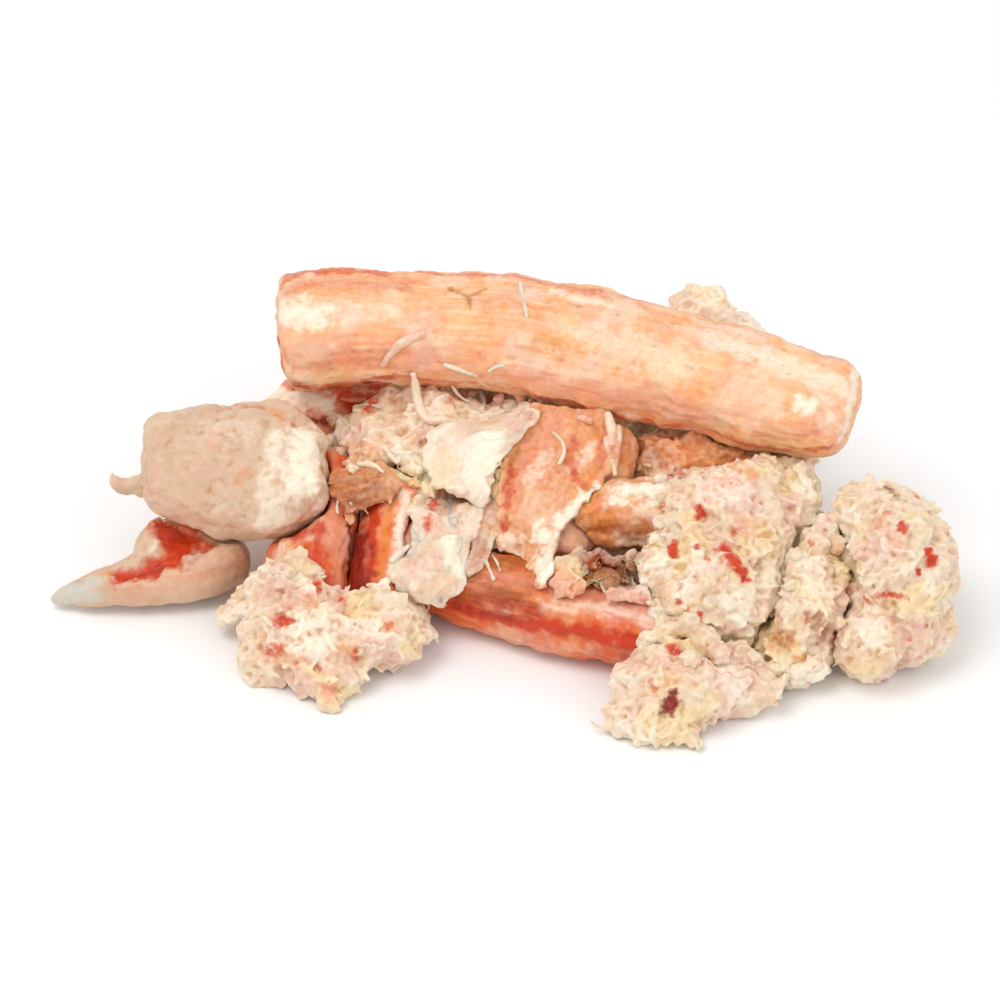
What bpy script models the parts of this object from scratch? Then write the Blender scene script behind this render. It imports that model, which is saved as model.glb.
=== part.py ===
"""A loose heap of picked crab meat, at its real size, in metres, +Z up.

A long peeled leg lies across the top. Under and around it are shorter legs with red skin, smooth chunks, torn
sheets of white meat and clumps of short flakes. Sizes below are in millimetres: X runs along the heap, Y away from
its front and Z up from the surface that it lies on. Each piece is one closed solid. A piece that is pressed by its
neighbour is cut back from it, and whatever lies on the surface is flat there.
"""

import math
import random

import bmesh
import bpy
import numpy as np
from mathutils import Matrix, Vector, noise
from mathutils.bvhtree import BVHTree

MM = 0.001

# What lies against what: a piece is first cut back this far from its neighbour, then its surface is thinned out, and
# the points that this brought nearer than the smaller gap are eased off, step by step.
FIRST_GAP = 0.7 * MM
CONTACT_GAP = 0.3 * MM
EASE_REACH = 4.0 * MM
EASE_STEP = 0.12 * MM
EASE_ROUNDS = 40
# A heap is flat where it touches the surface that it lies on.
SURFACE_Z = 0.0
FLAT_WITHIN = 0.2 * MM

# Flakes of picked meat: short bundles of fibres, tapered to both ends.
FLAKE_LENGTH = (6.5, 11.5)
FLAKE_WIDTH = (3.0, 5.0)
FLAKE_FLATNESS = 0.62
FLAKE_SIDES = 4
FLAKE_SUNK = 0.12
FLAKE_LIFT = 0.35
FLAKE_BEHIND = 0.42
FLAKE_LOWEST = 1.5
GRAIN_SIZE = 14.0
SKIN_STEP = 0.9 * MM

# The lobes that flakes lie on: how deep their relief is against the smallest radius, and how wide its bumps are.
LOBE_RELIEF = 0.21
LOBE_BUMP_SIZE = 7.0
NOISE_GAIN = 1.6

# A swept shape: the share of the spine that its direction is read over, and how far its closed ends stand out.
AHEAD_SHARE = 0.02
END_BULGE = 0.25

# Colours of cooked crab meat: name, colour, roughness.
FINISHES = {
    "leg_skin": ((0.93, 0.50, 0.27), 0.36),
    "red_skin": ((0.72, 0.20, 0.09), 0.34),
    "smooth_meat": ((0.86, 0.66, 0.48), 0.40),
    "torn_meat": ((0.88, 0.62, 0.42), 0.38),
    "white_sheet": ((0.93, 0.86, 0.74), 0.32),
    "flaked_meat": ((0.88, 0.76, 0.60), 0.45),
}


def clear_scene():
    """Removes what the new file opened with."""
    for thing in list(bpy.data.objects):
        bpy.data.objects.remove(thing, do_unlink=True)


def finish(name):
    """The named finish, made once."""
    found = bpy.data.materials.get(name)
    if found:
        return found
    colour, roughness = FINISHES[name]
    made = bpy.data.materials.new(name)
    made.use_nodes = True
    shader = made.node_tree.nodes["Principled BSDF"]
    shader.inputs["Base Color"].default_value = (*colour, 1.0)
    shader.inputs["Roughness"].default_value = roughness
    shader.inputs["Metallic"].default_value = 0.0
    return made


def add_object(name, body, finish_name):
    """Turns a bmesh into a named object with one finish, its faces pointing out."""
    bmesh.ops.recalc_face_normals(body, faces=body.faces[:])
    mesh = bpy.data.meshes.new(name)
    body.to_mesh(mesh)
    body.free()
    mesh.materials.append(finish(finish_name))
    made = bpy.data.objects.new(name, mesh)
    bpy.context.scene.collection.objects.link(made)
    return made


# ---------------------------------------------------------------- shapes


def along(values, share):
    """A size or a place read off evenly spaced values, with a smooth curve through them."""
    values = [np.atleast_1d(np.array(v, float)) for v in values]
    if len(values) == 1:
        return values[0]
    place = min(max(share, 0.0), 1.0) * (len(values) - 1)
    first = min(int(place), len(values) - 2)
    t = place - first
    before = values[max(first - 1, 0)]
    after = values[min(first + 2, len(values) - 1)]
    a, b = values[first], values[first + 1]
    return 0.5 * (
        2 * a + (b - before) * t + (2 * before - 5 * a + 4 * b - after) * t**2 + (3 * a - before - 3 * b + after) * t**3
    )


def strand(spine, widths, heights, rings, sides, seed, roll=(0.0,), ridges=0, ridge=0.0, bump=0.0, bump_size=6.0,
           square=2.3, blunt=(0.55, 0.55)):
    """A bmesh swept along a spine: a leg, a torn slab, a sheet or a horn, closed at both ends.

    spine, widths, heights and roll are read evenly along it. ridges run lengthwise, bump is the height of its lumps,
    square is the roundness of its section, and blunt says how far each end ring draws in."""
    body = bmesh.new()
    loops = []
    offset = Vector((seed * 7.3, seed * 3.1, seed * 5.7))
    for ring in range(rings):
        share = ring / (rings - 1)
        centre = Vector(along(spine, share))
        ahead = Vector(along(spine, share + AHEAD_SHARE)) - Vector(along(spine, share - AHEAD_SHARE))
        ahead.normalize()
        side = ahead.cross(Vector((0, 0, 1))).normalized()
        up = side.cross(ahead)
        turn = Matrix.Rotation(math.radians(float(along(roll, share)[0])), 3, ahead)
        side, up = turn @ side, turn @ up
        half_width = float(along(widths, share)[0]) / 2
        half_height = float(along(heights, share)[0]) / 2
        points = []
        for step in range(sides):
            angle = 2 * math.pi * step / sides
            c, s = math.cos(angle), math.sin(angle)
            reach = (abs(c) ** square + abs(s) ** square) ** (-1 / square)
            point = centre + side * (half_width * c * reach) + up * (half_height * s * reach)
            drift = noise.noise(centre / (3 * bump_size) + offset) * 2.0
            relief = ridge * math.sin(ridges * angle + drift + seed)
            relief += bump * noise.noise(point / bump_size + offset)
            relief += bump * 0.5 * noise.noise(point / (0.45 * bump_size) - offset)
            points.append(point + (point - centre).normalized() * relief)
        if ring in (0, rings - 1):
            draw = blunt[0] if ring == 0 else blunt[1]
            points = [centre + (p - centre) * draw for p in points]
        loops.append([body.verts.new(p * MM) for p in points])
    for one, two in zip(loops, loops[1:]):
        for step in range(sides):
            after = (step + 1) % sides
            body.faces.new((one[step], one[after], two[after], two[step]))
    for loop, beyond in ((loops[0], loops[1]), (loops[-1], loops[-2])):
        middle = sum((v.co for v in loop), Vector()) / sides
        inner = sum((v.co for v in beyond), Vector()) / sides
        tip = body.verts.new(middle + (middle - inner) * END_BULGE)
        for step in range(sides):
            body.faces.new((loop[step], loop[(step + 1) % sides], tip))
    return body


def lobe(centre, radii, seed, detail):
    """A bmesh of one uneven rounded lobe of a clump."""
    body = bmesh.new()
    bmesh.ops.create_icosphere(body, subdivisions=detail, radius=1.0)
    offset = Vector((seed * 4.7, seed * 9.1, seed * 2.3))
    smallest = min(radii)
    for vertex in body.verts:
        way = vertex.co.normalized()
        point = Vector([w * r / way.length for w, r in zip(way, radii)])
        push = noise.noise(point / LOBE_BUMP_SIZE + offset)
        push += 0.5 * noise.noise(point / (0.45 * LOBE_BUMP_SIZE) - offset)
        point += way * push * LOBE_RELIEF * smallest * NOISE_GAIN
        vertex.co = (point + Vector(centre)) * MM
    return body


def flake(start, way, out, length, width, rng):
    """A bmesh of one short bundle of fibres, tapered to both ends and a little bent."""
    body = bmesh.new()
    side = way.cross(out).normalized()
    tips, loops = [], []
    bend = rng.uniform(-0.12, 0.18) * length
    for share, grown in ((0.0, 0.0), (0.22, 1.0), (0.74, 0.85), (1.0, 0.0)):
        centre = start + way * (length * share) + out * (bend * math.sin(math.pi * share))
        if grown == 0.0:
            tips.append(body.verts.new((centre + side * rng.uniform(-0.2, 0.2) * width) * MM))
            continue
        loop = []
        for step in range(FLAKE_SIDES):
            angle = 2 * math.pi * step / FLAKE_SIDES + rng.uniform(-0.2, 0.2)
            reach = side * math.cos(angle) * width / 2 + out * math.sin(angle) * width * FLAKE_FLATNESS / 2
            loop.append(body.verts.new((centre + reach * grown) * MM))
        loops.append(loop)
    for step in range(FLAKE_SIDES):
        after = (step + 1) % FLAKE_SIDES
        body.faces.new((tips[0], loops[0][after], loops[0][step]))
        body.faces.new((loops[0][step], loops[0][after], loops[1][after], loops[1][step]))
        body.faces.new((loops[1][step], loops[1][after], tips[1]))
    return body


# ---------------------------------------------------------------- joining and cutting


def apply_modifiers(thing):
    """Replaces an object's mesh with what its modifiers make of it."""
    graph = bpy.context.evaluated_depsgraph_get()
    made = bpy.data.meshes.new_from_object(thing.evaluated_get(graph))
    old = thing.data
    thing.modifiers.clear()
    thing.data = made
    bpy.data.meshes.remove(old)


def fuse(thing, bodies):
    """Joins several shapes to an object with one Boolean union on their collection."""
    group = bpy.data.collections.new("fused")
    bpy.context.scene.collection.children.link(group)
    parts = []
    for number, body in enumerate(bodies):
        bmesh.ops.recalc_face_normals(body, faces=body.faces[:])
        mesh = bpy.data.meshes.new(f"fused_{number}")
        body.to_mesh(mesh)
        body.free()
        part = bpy.data.objects.new(f"fused_{number}", mesh)
        group.objects.link(part)
        parts.append(part)
    union = thing.modifiers.new("union", "BOOLEAN")
    union.operation = "UNION"
    union.operand_type = "COLLECTION"
    union.collection = group
    union.solver = "EXACT"
    apply_modifiers(thing)
    for part in parts:
        mesh = part.data
        bpy.data.objects.remove(part, do_unlink=True)
        bpy.data.meshes.remove(mesh)
    bpy.data.collections.remove(group)


def cut(thing, cutter):
    """Takes the cutter's space out of an object. A grown cutter can cross itself, which the EXACT solver fails on."""
    difference = thing.modifiers.new("cut", "BOOLEAN")
    difference.operation = "DIFFERENCE"
    difference.object = cutter
    difference.solver = "MANIFOLD"
    apply_modifiers(thing)


def grown(thing, gap):
    """A copy of an object with its surface moved out by the gap, to cut its neighbours with."""
    mesh = thing.data.copy()
    body = bmesh.new()
    body.from_mesh(mesh)
    body.normal_update()
    moves = [v.normal * (gap * min(v.calc_shell_factor(), 1.6)) for v in body.verts]
    for vertex, move in zip(body.verts, moves):
        vertex.co += move
    body.to_mesh(mesh)
    body.free()
    made = bpy.data.objects.new("grown", mesh)
    made.hide_render = True
    bpy.context.scene.collection.objects.link(made)
    return made


def drop(thing):
    """Removes a helper object and its mesh."""
    mesh = thing.data
    bpy.data.objects.remove(thing, do_unlink=True)
    bpy.data.meshes.remove(mesh)


def thin_out(thing, faces):
    """Merges the smallest faces of an object until it has about this many."""
    if len(thing.data.polygons) <= faces:
        return
    fewer = thing.modifiers.new("thin", "DECIMATE")
    fewer.ratio = faces / len(thing.data.polygons)
    fewer.use_collapse_triangulate = True
    apply_modifiers(thing)


def even_out(thing):
    """Gives an object a new, even skin, which closes the cracks between its flakes."""
    skin = thing.modifiers.new("even", "REMESH")
    skin.mode = "VOXEL"
    skin.voxel_size = SKIN_STEP
    apply_modifiers(thing)


def keep_largest(thing):
    """Drops the loose scraps that a cut leaves, with those that hang on by a single point."""
    body = bmesh.new()
    body.from_mesh(thing.data)
    bmesh.ops.triangulate(body, faces=body.faces[:])
    left = set(body.faces)
    islands = []
    for seed_face in body.faces:
        if seed_face not in left:
            continue
        left.remove(seed_face)
        island, edge = [], [seed_face]
        while edge:
            face = edge.pop()
            island.append(face)
            for side in face.edges:
                for other in side.link_faces:
                    if other in left:
                        left.remove(other)
                        edge.append(other)
        islands.append(island)
    largest = set(max(islands, key=len))
    bmesh.ops.delete(body, geom=[f for f in body.faces if f not in largest], context="FACES")
    body.to_mesh(thing.data)
    body.free()


def surface_cutter():
    """The block below the surface that the heap lies on."""
    size, depth = 400 * MM, 60 * MM
    body = bmesh.new()
    bmesh.ops.create_cube(body, size=1.0)
    bmesh.ops.scale(body, vec=(size, size, depth), verts=body.verts[:])
    bmesh.ops.translate(body, vec=(0, 0, SURFACE_Z - depth / 2), verts=body.verts[:])
    made = add_object("surface_below", body, "flaked_meat")
    made.hide_render = True
    return made


def tree_of(thing):
    """A search tree of an object's faces."""
    points = [v.co[:] for v in thing.data.vertices]
    return BVHTree.FromPolygons(points, [p.vertices[:] for p in thing.data.polygons])


def overlap(one, two):
    """Whether two objects' surfaces cross."""
    low_one, high_one = bounds([one])
    low_two, high_two = bounds([two])
    if any(a > b for a, b in zip(low_one, high_two)) or any(a > b for a, b in zip(low_two, high_one)):
        return False
    return bool(tree_of(one).overlap(tree_of(two)))


def bounds(things):
    """The lowest and the highest corner of several objects."""
    points = np.array([v.co for thing in things for v in thing.data.vertices])
    return points.min(axis=0), points.max(axis=0)


# ---------------------------------------------------------------- legs


def make_leg_top():
    """The long peeled leg across the top: bowed, a little wider than high, blunt on the left and cut thin on the right."""
    body = strand(
        spine=[(-48.5, 40.5, 43), (-33, 41.5, 44), (-15, 40.5, 44.5), (4, 38, 44.5), (23, 32.5, 43.5), (43, 26.5, 42),
               (61, 20.5, 40.5), (77, 15.5, 39.5)],
        widths=(27, 27, 26, 26, 27, 26, 25, 20),
        heights=(24, 23.5, 22.5, 23.5, 24.5, 23, 22, 16),
        roll=(-6, -3, 0, 5, 9, 12),
        rings=33, sides=20, seed=1, ridges=6, ridge=0.35, bump=1.3, bump_size=9.0, square=2.5, blunt=(0.84, 0.8),
    )
    return add_object("leg_top", body, "leg_skin")


def make_leg_back():
    """A short leg that lies under the left end of the long one and shows past it."""
    body = strand(
        spine=[(-54, 33, 22), (-42, 40, 23), (-28, 47, 19), (-12, 54, 12)],
        widths=(9, 17, 18, 16), heights=(8, 14.5, 16, 15),
        rings=14, sides=14, seed=2, ridges=5, ridge=0.3, bump=1.0, bump_size=8.0, blunt=(0.5, 0.6),
    )
    return add_object("leg_back", body, "red_skin")


def make_leg_left():
    """A red leg that leans up and back, under the smooth chunk."""
    body = strand(
        spine=[(-44, -17, 6.5), (-42.3, -4, 11), (-40.2, 9, 16), (-37.2, 23, 21)],
        widths=(18, 19.5, 18.5, 15), heights=(13, 16, 16, 14),
        rings=15, sides=14, seed=3, ridges=7, ridge=0.35, bump=0.8, bump_size=7.0, square=2.5, blunt=(0.7, 0.7),
    )
    return add_object("leg_left", body, "red_skin")


def make_leg_middle():
    """A second red leg beside it, with a deep gap between them."""
    body = strand(
        spine=[(-26.4, -17, 6.5), (-24.6, -5, 11), (-22, 8, 16), (-18, 21, 20)],
        widths=(14, 16, 16.5, 14), heights=(13, 16, 16, 13),
        rings=15, sides=14, seed=4, ridges=6, ridge=0.35, bump=0.8, bump_size=7.0, square=2.5, blunt=(0.7, 0.7),
    )
    return add_object("leg_middle", body, "red_skin")


def make_leg_low():
    """The red leg that lies on the surface at the middle of the front."""
    body = strand(
        spine=[(-17, -2, 8.5), (2, -10, 8.8), (22, -17.5, 9), (43, -25, 8)],
        widths=(14, 18, 18.5, 15), heights=(14, 17.5, 18, 14),
        rings=18, sides=16, seed=5, ridges=6, ridge=0.4, bump=0.8, bump_size=8.0, square=2.4, blunt=(0.6, 0.65),
    )
    return add_object("leg_low", body, "red_skin")


# ---------------------------------------------------------------- chunks and sheets


def make_chunk_left():
    """The smooth pale chunk on the left: cut square at its left end, rounded at its right, with a tail of membrane."""
    chunk = strand(
        spine=[(-77.8, 13.5, 27), (-67, 14, 26.4), (-57, 13, 25.5), (-47, 12.5, 25.2), (-38, 13.5, 26)],
        widths=(22, 28, 31, 29, 16), heights=(16, 21.5, 24.5, 22, 12), roll=(10, 12, 14),
        rings=20, sides=18, seed=6, ridges=5, ridge=0.25, bump=0.9, bump_size=9.0, square=2.5, blunt=(0.86, 0.5),
    )
    made = add_object("chunk_left", chunk, "smooth_meat")
    tail = strand(
        spine=[(-72, 13, 24.5), (-77.5, 13, 22), (-82, 13, 21), (-84.5, 13.5, 23), (-85.2, 14, 25.5)],
        widths=(9, 6, 4.5, 3.2, 1.6), heights=(9, 6.5, 4.6, 3.6, 1.8), rings=10, sides=8, seed=7, bump=0.3,
        blunt=(0.8, 0.4),
    )
    rim = strand(
        spine=[(-62, 24, 32), (-52, 23, 35), (-44, 20, 34), (-38, 15, 30)],
        widths=(4, 6, 6, 4), heights=(3, 5, 5, 3), rings=10, sides=8, seed=8, bump=0.7, bump_size=4.0,
    )
    fuse(made, [tail, rim])
    return made


def make_claw_left():
    """The claw-end meat at the far left: a horn with a pale tip, its torn red top folded up at the back."""
    horn = strand(
        spine=[(-98.5, -3, 2.0), (-90, -2, 4.6), (-79, -0.5, 6.2), (-67, 3.5, 7.6), (-56.5, 8, 9)],
        widths=(2.2, 8, 13, 18, 15), heights=(2.4, 6.5, 10, 14, 13),
        rings=18, sides=14, seed=10, ridges=4, ridge=0.3, bump=0.6, bump_size=7.0, blunt=(0.5, 0.6),
    )
    made = add_object("claw_left", horn, "smooth_meat")
    fold = strand(
        spine=[(-79.5, 2, 8.5), (-76, 4.5, 12), (-73.2, 7.5, 15.5), (-70.5, 10, 16.5)],
        widths=(6, 9, 8, 5), heights=(4, 5, 5, 3), roll=(20, 35, 50, 60),
        rings=8, sides=8, seed=11, bump=0.5, bump_size=4.0, blunt=(0.4, 0.3),
    )
    fuse(made, [fold])
    return made


def make_slab_middle():
    """The torn slab with orange skin that leans against the heap, its lower end in white points."""
    slab = strand(
        spine=[(23, 23.5, 31), (20, 15, 28), (14.5, 6.5, 22.5), (8.5, -1, 17.5)],
        widths=(15, 21, 22, 20), heights=(8, 9.5, 9, 7), roll=(-14, -18, -20, -18),
        rings=15, sides=16, seed=12, ridges=9, ridge=0.3, bump=0.7, bump_size=6.0, square=2.6, blunt=(0.6, 0.8),
    )
    made = add_object("slab_middle", slab, "torn_meat")
    points = [
        strand(spine=[(9.5, 0, 18), (9.0, -5, 14.5), (8.6, -8.5, 11.5)], widths=(8, 5.5, 1.2), heights=(6, 4.5, 1.2),
               rings=7, sides=8, seed=13, bump=0.2, blunt=(0.9, 0.4)),
        strand(spine=[(2, 1, 17.5), (0.5, -3.5, 14.5), (-0.5, -6, 13)], widths=(7, 6, 2), heights=(5, 4, 1.5),
               rings=6, sides=8, seed=14, bump=0.3, blunt=(0.9, 0.5)),
        strand(spine=[(15.5, 1.5, 20), (16.5, -2.5, 17.5), (17, -5, 16)], widths=(6, 4.5, 1.5), heights=(5, 4, 1.5),
               rings=6, sides=8, seed=15, bump=0.3, blunt=(0.9, 0.5)),
    ]
    fuse(made, points)
    return made


def make_lump_cream():
    """The pale rounded piece that bridges from the slab to the clumps on the right."""
    body = strand(
        spine=[(11, 4, 18), (19, 3.5, 21), (29, 2.5, 23), (40, 1.0, 22.5), (49, -1, 20)],
        widths=(10, 14, 15.5, 16, 12), heights=(9, 13, 14, 14, 10), roll=(0, 10, 15),
        rings=16, sides=14, seed=16, ridges=4, ridge=0.4, bump=1.0, bump_size=7.0, square=2.4, blunt=(0.6, 0.5),
    )
    return add_object("lump_cream", body, "torn_meat")


def make_flake_white():
    """The bright sheet of meat below the long leg: a smooth band that curls down, with a torn sheet on its left."""
    band = strand(
        spine=[(11, 23, 33), (5.5, 18.5, 32), (0, 14.5, 30.5), (-3, 10.5, 27), (-4, 6.5, 22.5)],
        widths=(6, 9, 11, 10, 7), heights=(4, 5, 5.5, 4.5, 3), roll=(-30, -36, -30, -14, -6),
        rings=15, sides=12, seed=17, ridges=4, ridge=0.2, bump=0.3, bump_size=6.0, square=2.3, blunt=(0.6, 0.7),
    )
    made = add_object("flake_white", band, "white_sheet")
    sheet = strand(
        spine=[(-3, 15.5, 31), (-8, 12.5, 28.5), (-10.5, 8.5, 24.5), (-10.5, 5, 20.5)],
        widths=(9, 13, 13, 11), heights=(4, 4.5, 4, 2.6), roll=(-20, -18, -10, -4),
        rings=11, sides=12, seed=24, ridges=6, ridge=0.3, bump=0.5, bump_size=5.0, square=2.5, blunt=(0.7, 0.8),
    )
    fuse(made, [sheet])
    return made


def make_flake_fan():
    """A fan of pearly meat that hangs over the end of the low leg."""
    body = strand(
        spine=[(-7, 7.5, 20.5), (-10, 1.5, 18.5), (-14, -5, 15.5), (-18, -11, 12.5)],
        widths=(12, 18, 18.5, 14), heights=(5, 6, 5.5, 3.5), roll=(-8, -16, -16, -12),
        rings=13, sides=14, seed=18, ridges=8, ridge=0.25, bump=0.5, bump_size=5.0, square=2.5, blunt=(0.7, 0.7),
    )
    made = add_object("flake_fan", body, "white_sheet")
    points = [
        strand(spine=[(2, 8, 21.5), (-2, 3, 18), (-6, -2.5, 14), (-9, -7, 11)], widths=(12, 14, 13, 8),
               heights=(5, 5.5, 5, 3), roll=(-10, -14, -14), rings=10, sides=10, seed=25, ridges=6, ridge=0.25,
               bump=0.5, bump_size=5.0, square=2.5, blunt=(0.7, 0.6)),
        strand(spine=[(-19, -9.5, 13.5), (-20, -13, 10.5), (-20.5, -15.5, 8.5)], widths=(5, 3.5, 1),
               heights=(3, 2.5, 1), rings=6, sides=7, seed=19, bump=0.2, blunt=(0.9, 0.4)),
        strand(spine=[(-13, -8.5, 14.5), (-12.6, -12.5, 11.5), (-12.4, -15, 9.6)], widths=(5, 3, 1),
               heights=(3.4, 2.5, 1), rings=6, sides=7, seed=20, bump=0.2, blunt=(0.9, 0.4)),
    ]
    fuse(made, points)
    return made


def make_flake_brown():
    """A small dark flake in the shade over the gap between the red legs, with fibre ends hanging from it."""
    body = strand(
        spine=[(-40, 9.5, 24.5), (-34, 8.5, 25.5), (-27, 8.5, 25.5), (-21, 9.5, 26)],
        widths=(5, 9, 10, 5), heights=(3, 5.5, 6, 3.5), roll=(10, 20, 20),
        rings=11, sides=10, seed=21, ridges=5, ridge=0.3, bump=0.6, bump_size=4.0, blunt=(0.4, 0.4),
    )
    made = add_object("flake_brown", body, "torn_meat")
    ends = [
        strand(spine=[(-33, 6, 23), (-33.6, 3.6, 20.5), (-34, 2.4, 18.8)], widths=(2.6, 2.0, 1.2),
               heights=(2.4, 1.8, 1), rings=5, sides=6, seed=22, blunt=(0.9, 0.6)),
        strand(spine=[(-29.5, 6, 23), (-28.6, 4, 21), (-28, 3, 19.6)], widths=(2.4, 1.8, 1), heights=(2.4, 1.8, 1),
               rings=5, sides=6, seed=23, blunt=(0.9, 0.6)),
    ]
    fuse(made, ends)
    return made


# ---------------------------------------------------------------- clumps of flakes


def flakes_over(lobes, count, seed, drift):
    """Flakes half sunk in the lobes' surface. They lie along a grain that drifts slowly, and lift at one end."""
    rng = random.Random(seed)
    made = []
    sizes = [r[0] * r[1] + r[1] * r[2] + r[0] * r[2] for _, r in lobes]
    for _ in range(count):
        centre, radii = rng.choices(lobes, weights=sizes)[0]
        way = Vector((rng.gauss(0, 1), rng.gauss(0, 1), rng.gauss(0, 1) + 0.35)).normalized()
        point = Vector(centre) + Vector([w * r for w, r in zip(way, radii)])
        if point.z < FLAKE_LOWEST:
            continue
        inside_other = any(
            sum(((p - c) / r) ** 2 for p, c, r in zip(point, other, reach)) < 0.7
            for other, reach in lobes
            if other != centre
        )
        if inside_other:
            continue
        out = Vector([w / r for w, r in zip(way, radii)]).normalized()
        grain = Vector([noise.noise(point / GRAIN_SIZE + Vector((seed, way_on, 0))) for way_on in (0, 40, 80)])
        grain += Vector(drift) * 0.5
        grain = (grain - out * grain.dot(out)).normalized()
        lift = rng.uniform(0.0, FLAKE_LIFT)
        grain = (grain + out * lift).normalized()
        out = (out - grain * out.dot(grain)).normalized()
        length, width = rng.uniform(*FLAKE_LENGTH), rng.uniform(*FLAKE_WIDTH)
        start = point - grain * (length * FLAKE_BEHIND) - out * (width * FLAKE_SUNK)
        made.append(flake(start, grain, out, length, width, rng))
    return made


def clump(name, lobes, flakes, seed, drift=(0.6, -0.4, 0.3), details=None, tips=()):
    """A clump of picked meat: lumpy lobes run together, with the flakes and torn tips that show fused on."""
    bodies = []
    for number, (centre, radii) in enumerate(lobes):
        detail = details[number] if details else 3
        bodies.append(lobe(centre, radii, seed + number * 1.7, detail))
    made = add_object(name, bodies[0], "flaked_meat")
    tapered = [
        strand(spine=spine, widths=widths, heights=[w * 0.55 for w in widths], rings=6, sides=7, seed=seed + n,
               bump=0.35, bump_size=3.0, blunt=(0.8, 0.4))
        for n, (spine, widths) in enumerate(tips)
    ]
    fuse(made, bodies[1:] + tapered + flakes_over(lobes, flakes, seed, drift))
    even_out(made)
    return made


def make_clump_core():
    """The bed of loose flakes that the long leg lies on."""
    return clump(
        "clump_core",
        lobes=[((-10, 30, 17), (28, 17, 17)), ((-24, 20, 22), (15, 11, 9)), ((8, 22, 20), (15, 13, 13)),
               ((-4, 17, 24), (14, 8, 8)), ((1, 9, 9), (17, 11, 10))],
        details=(3, 3, 2, 2, 2), flakes=36, seed=31,
    )


def make_clump_front():
    """The wide clump at the front left, over the ends of the two red legs, with a torn tip on each side."""
    return clump(
        "clump_front",
        lobes=[((-43, -19, 8), (13, 14, 9.5)), ((-28, -19, 8), (12.5, 11, 8)), ((-47, -13, 12), (9, 8, 7)),
               ((-37, -30, 4.5), (8, 7, 5.5)), ((-48, -24, 5), (8, 9, 6.5))],
        details=(3, 3, 2, 2, 2), flakes=30, seed=41,
        tips=[([(-52, -12, 9.5), (-57.5, -11.5, 7.5), (-61.5, -13, 3.5)], (10, 7.5, 3)),
              ([(-37, -31, 4), (-36, -36, 3), (-34.5, -39, 1.6)], (10, 7.5, 3.5)),
              ([(-19, -19, 8), (-15, -19.5, 6.5), (-13, -20, 5)], (8, 5, 2))],
    )


def make_clump_upper():
    """The upper mass on the right, which rises to the underside of the long leg."""
    return clump(
        "clump_upper",
        lobes=[((50, -2, 20), (19, 15, 15)), ((45, -15, 15), (17, 14, 14.5)), ((56, 3, 27), (9, 8, 9))],
        details=(3, 3, 2), flakes=36, seed=51, drift=(0.3, -0.5, 0.6),
    )


def make_clump_foot():
    """The foot of that mass, which spreads out at the front in torn points."""
    return clump(
        "clump_foot",
        lobes=[((37.5, -37, 6.5), (14, 12, 8)), ((48, -34, 5.5), (12, 9, 7)), ((33, -44, 3), (10, 6.5, 4.2))],
        details=(3, 2, 2), flakes=26, seed=61,
        tips=[([(27, -44, 3), (22.5, -45.5, 2.4), (19.5, -46, 1.6)], (6, 4, 1.6)),
              ([(38, -46, 2.5), (41.5, -50, 2), (44, -52, 1.4)], (7, 4.5, 1.6)),
              ([(54, -36, 5), (58, -38.5, 4), (59.5, -40.5, 2.4)], (6, 4, 1.6))],
    )


def make_clump_low():
    """The low column between the upper mass and the clump at the right end."""
    return clump(
        "clump_low",
        lobes=[((66, -17, 12), (10, 13.5, 13)), ((62, -28, 6), (11, 6.5, 6)), ((68, -7, 17), (7.5, 9.5, 10))],
        details=(3, 2, 2), flakes=24, seed=71,
    )


def make_clump_end():
    """The round clump at the right end."""
    return clump(
        "clump_end",
        lobes=[((86, -13, 17.5), (12, 15, 16)), ((80.5, -24, 8.5), (8.5, 11, 9)), ((89, -19, 11), (9, 12, 11)),
               ((82, -2, 25.5), (10.5, 8, 9))],
        details=(3, 2, 2, 2), flakes=32, seed=81, drift=(0.2, -0.6, 0.4),
    )


def make_clump_under():
    """The clump in the shade that carries the right half of the long leg."""
    return clump(
        "clump_under",
        lobes=[((47, 19, 16), (20, 14, 16.5)), ((62, 15, 21), (8, 11, 12)), ((33, 18, 18), (10, 10, 12)),
               ((31, 7, 8), (14, 11, 9))],
        details=(3, 2, 2, 2), flakes=22, seed=91,
    )


def make_clump_back():
    """The clump behind the long leg, which shows above it."""
    return clump(
        "clump_back",
        lobes=[((46, 49, 20), (17, 14, 21)), ((44, 53, 38), (7.5, 6, 8.5)), ((54, 51, 33), (6, 6, 7)),
               ((27, 50, 9), (12, 10, 10))],
        details=(3, 2, 2, 2), flakes=34, seed=101,
    )


def make_shreds_low():
    """Torn pink shreds that lie on the low leg."""
    return clump(
        "shreds_low",
        lobes=[((19, -14, 18.5), (10.5, 6.5, 4.5)), ((28, -16.5, 18.5), (8.5, 7.5, 5.0))],
        details=(2, 2), flakes=12, seed=111,
    )


# Firm pieces come first: each keeps its shape, and what comes after it is pressed back by it. The number is about
# how many faces the piece is left with.
MAKERS = (
    (make_leg_top, 1260), (make_chunk_left, 620), (make_slab_middle, 520), (make_flake_white, 400),
    (make_leg_low, 460), (make_claw_left, 520), (make_flake_fan, 480), (make_lump_cream, 380), (make_leg_left, 360),
    (make_leg_middle, 360), (make_flake_brown, 260), (make_leg_back, 260), (make_clump_front, 1140),
    (make_clump_upper, 1140), (make_clump_foot, 880), (make_clump_end, 1020), (make_clump_low, 720),
    (make_shreds_low, 280), (make_clump_under, 720), (make_clump_back, 720), (make_clump_core, 1040),
)


def press_back(thing, firmer_things):
    """Cuts an object back from each firmer one that it runs into."""
    for firmer in firmer_things:
        if overlap(thing, firmer):
            cutter = grown(firmer, FIRST_GAP)
            cut(thing, cutter)
            drop(cutter)
    keep_largest(thing)


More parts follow.
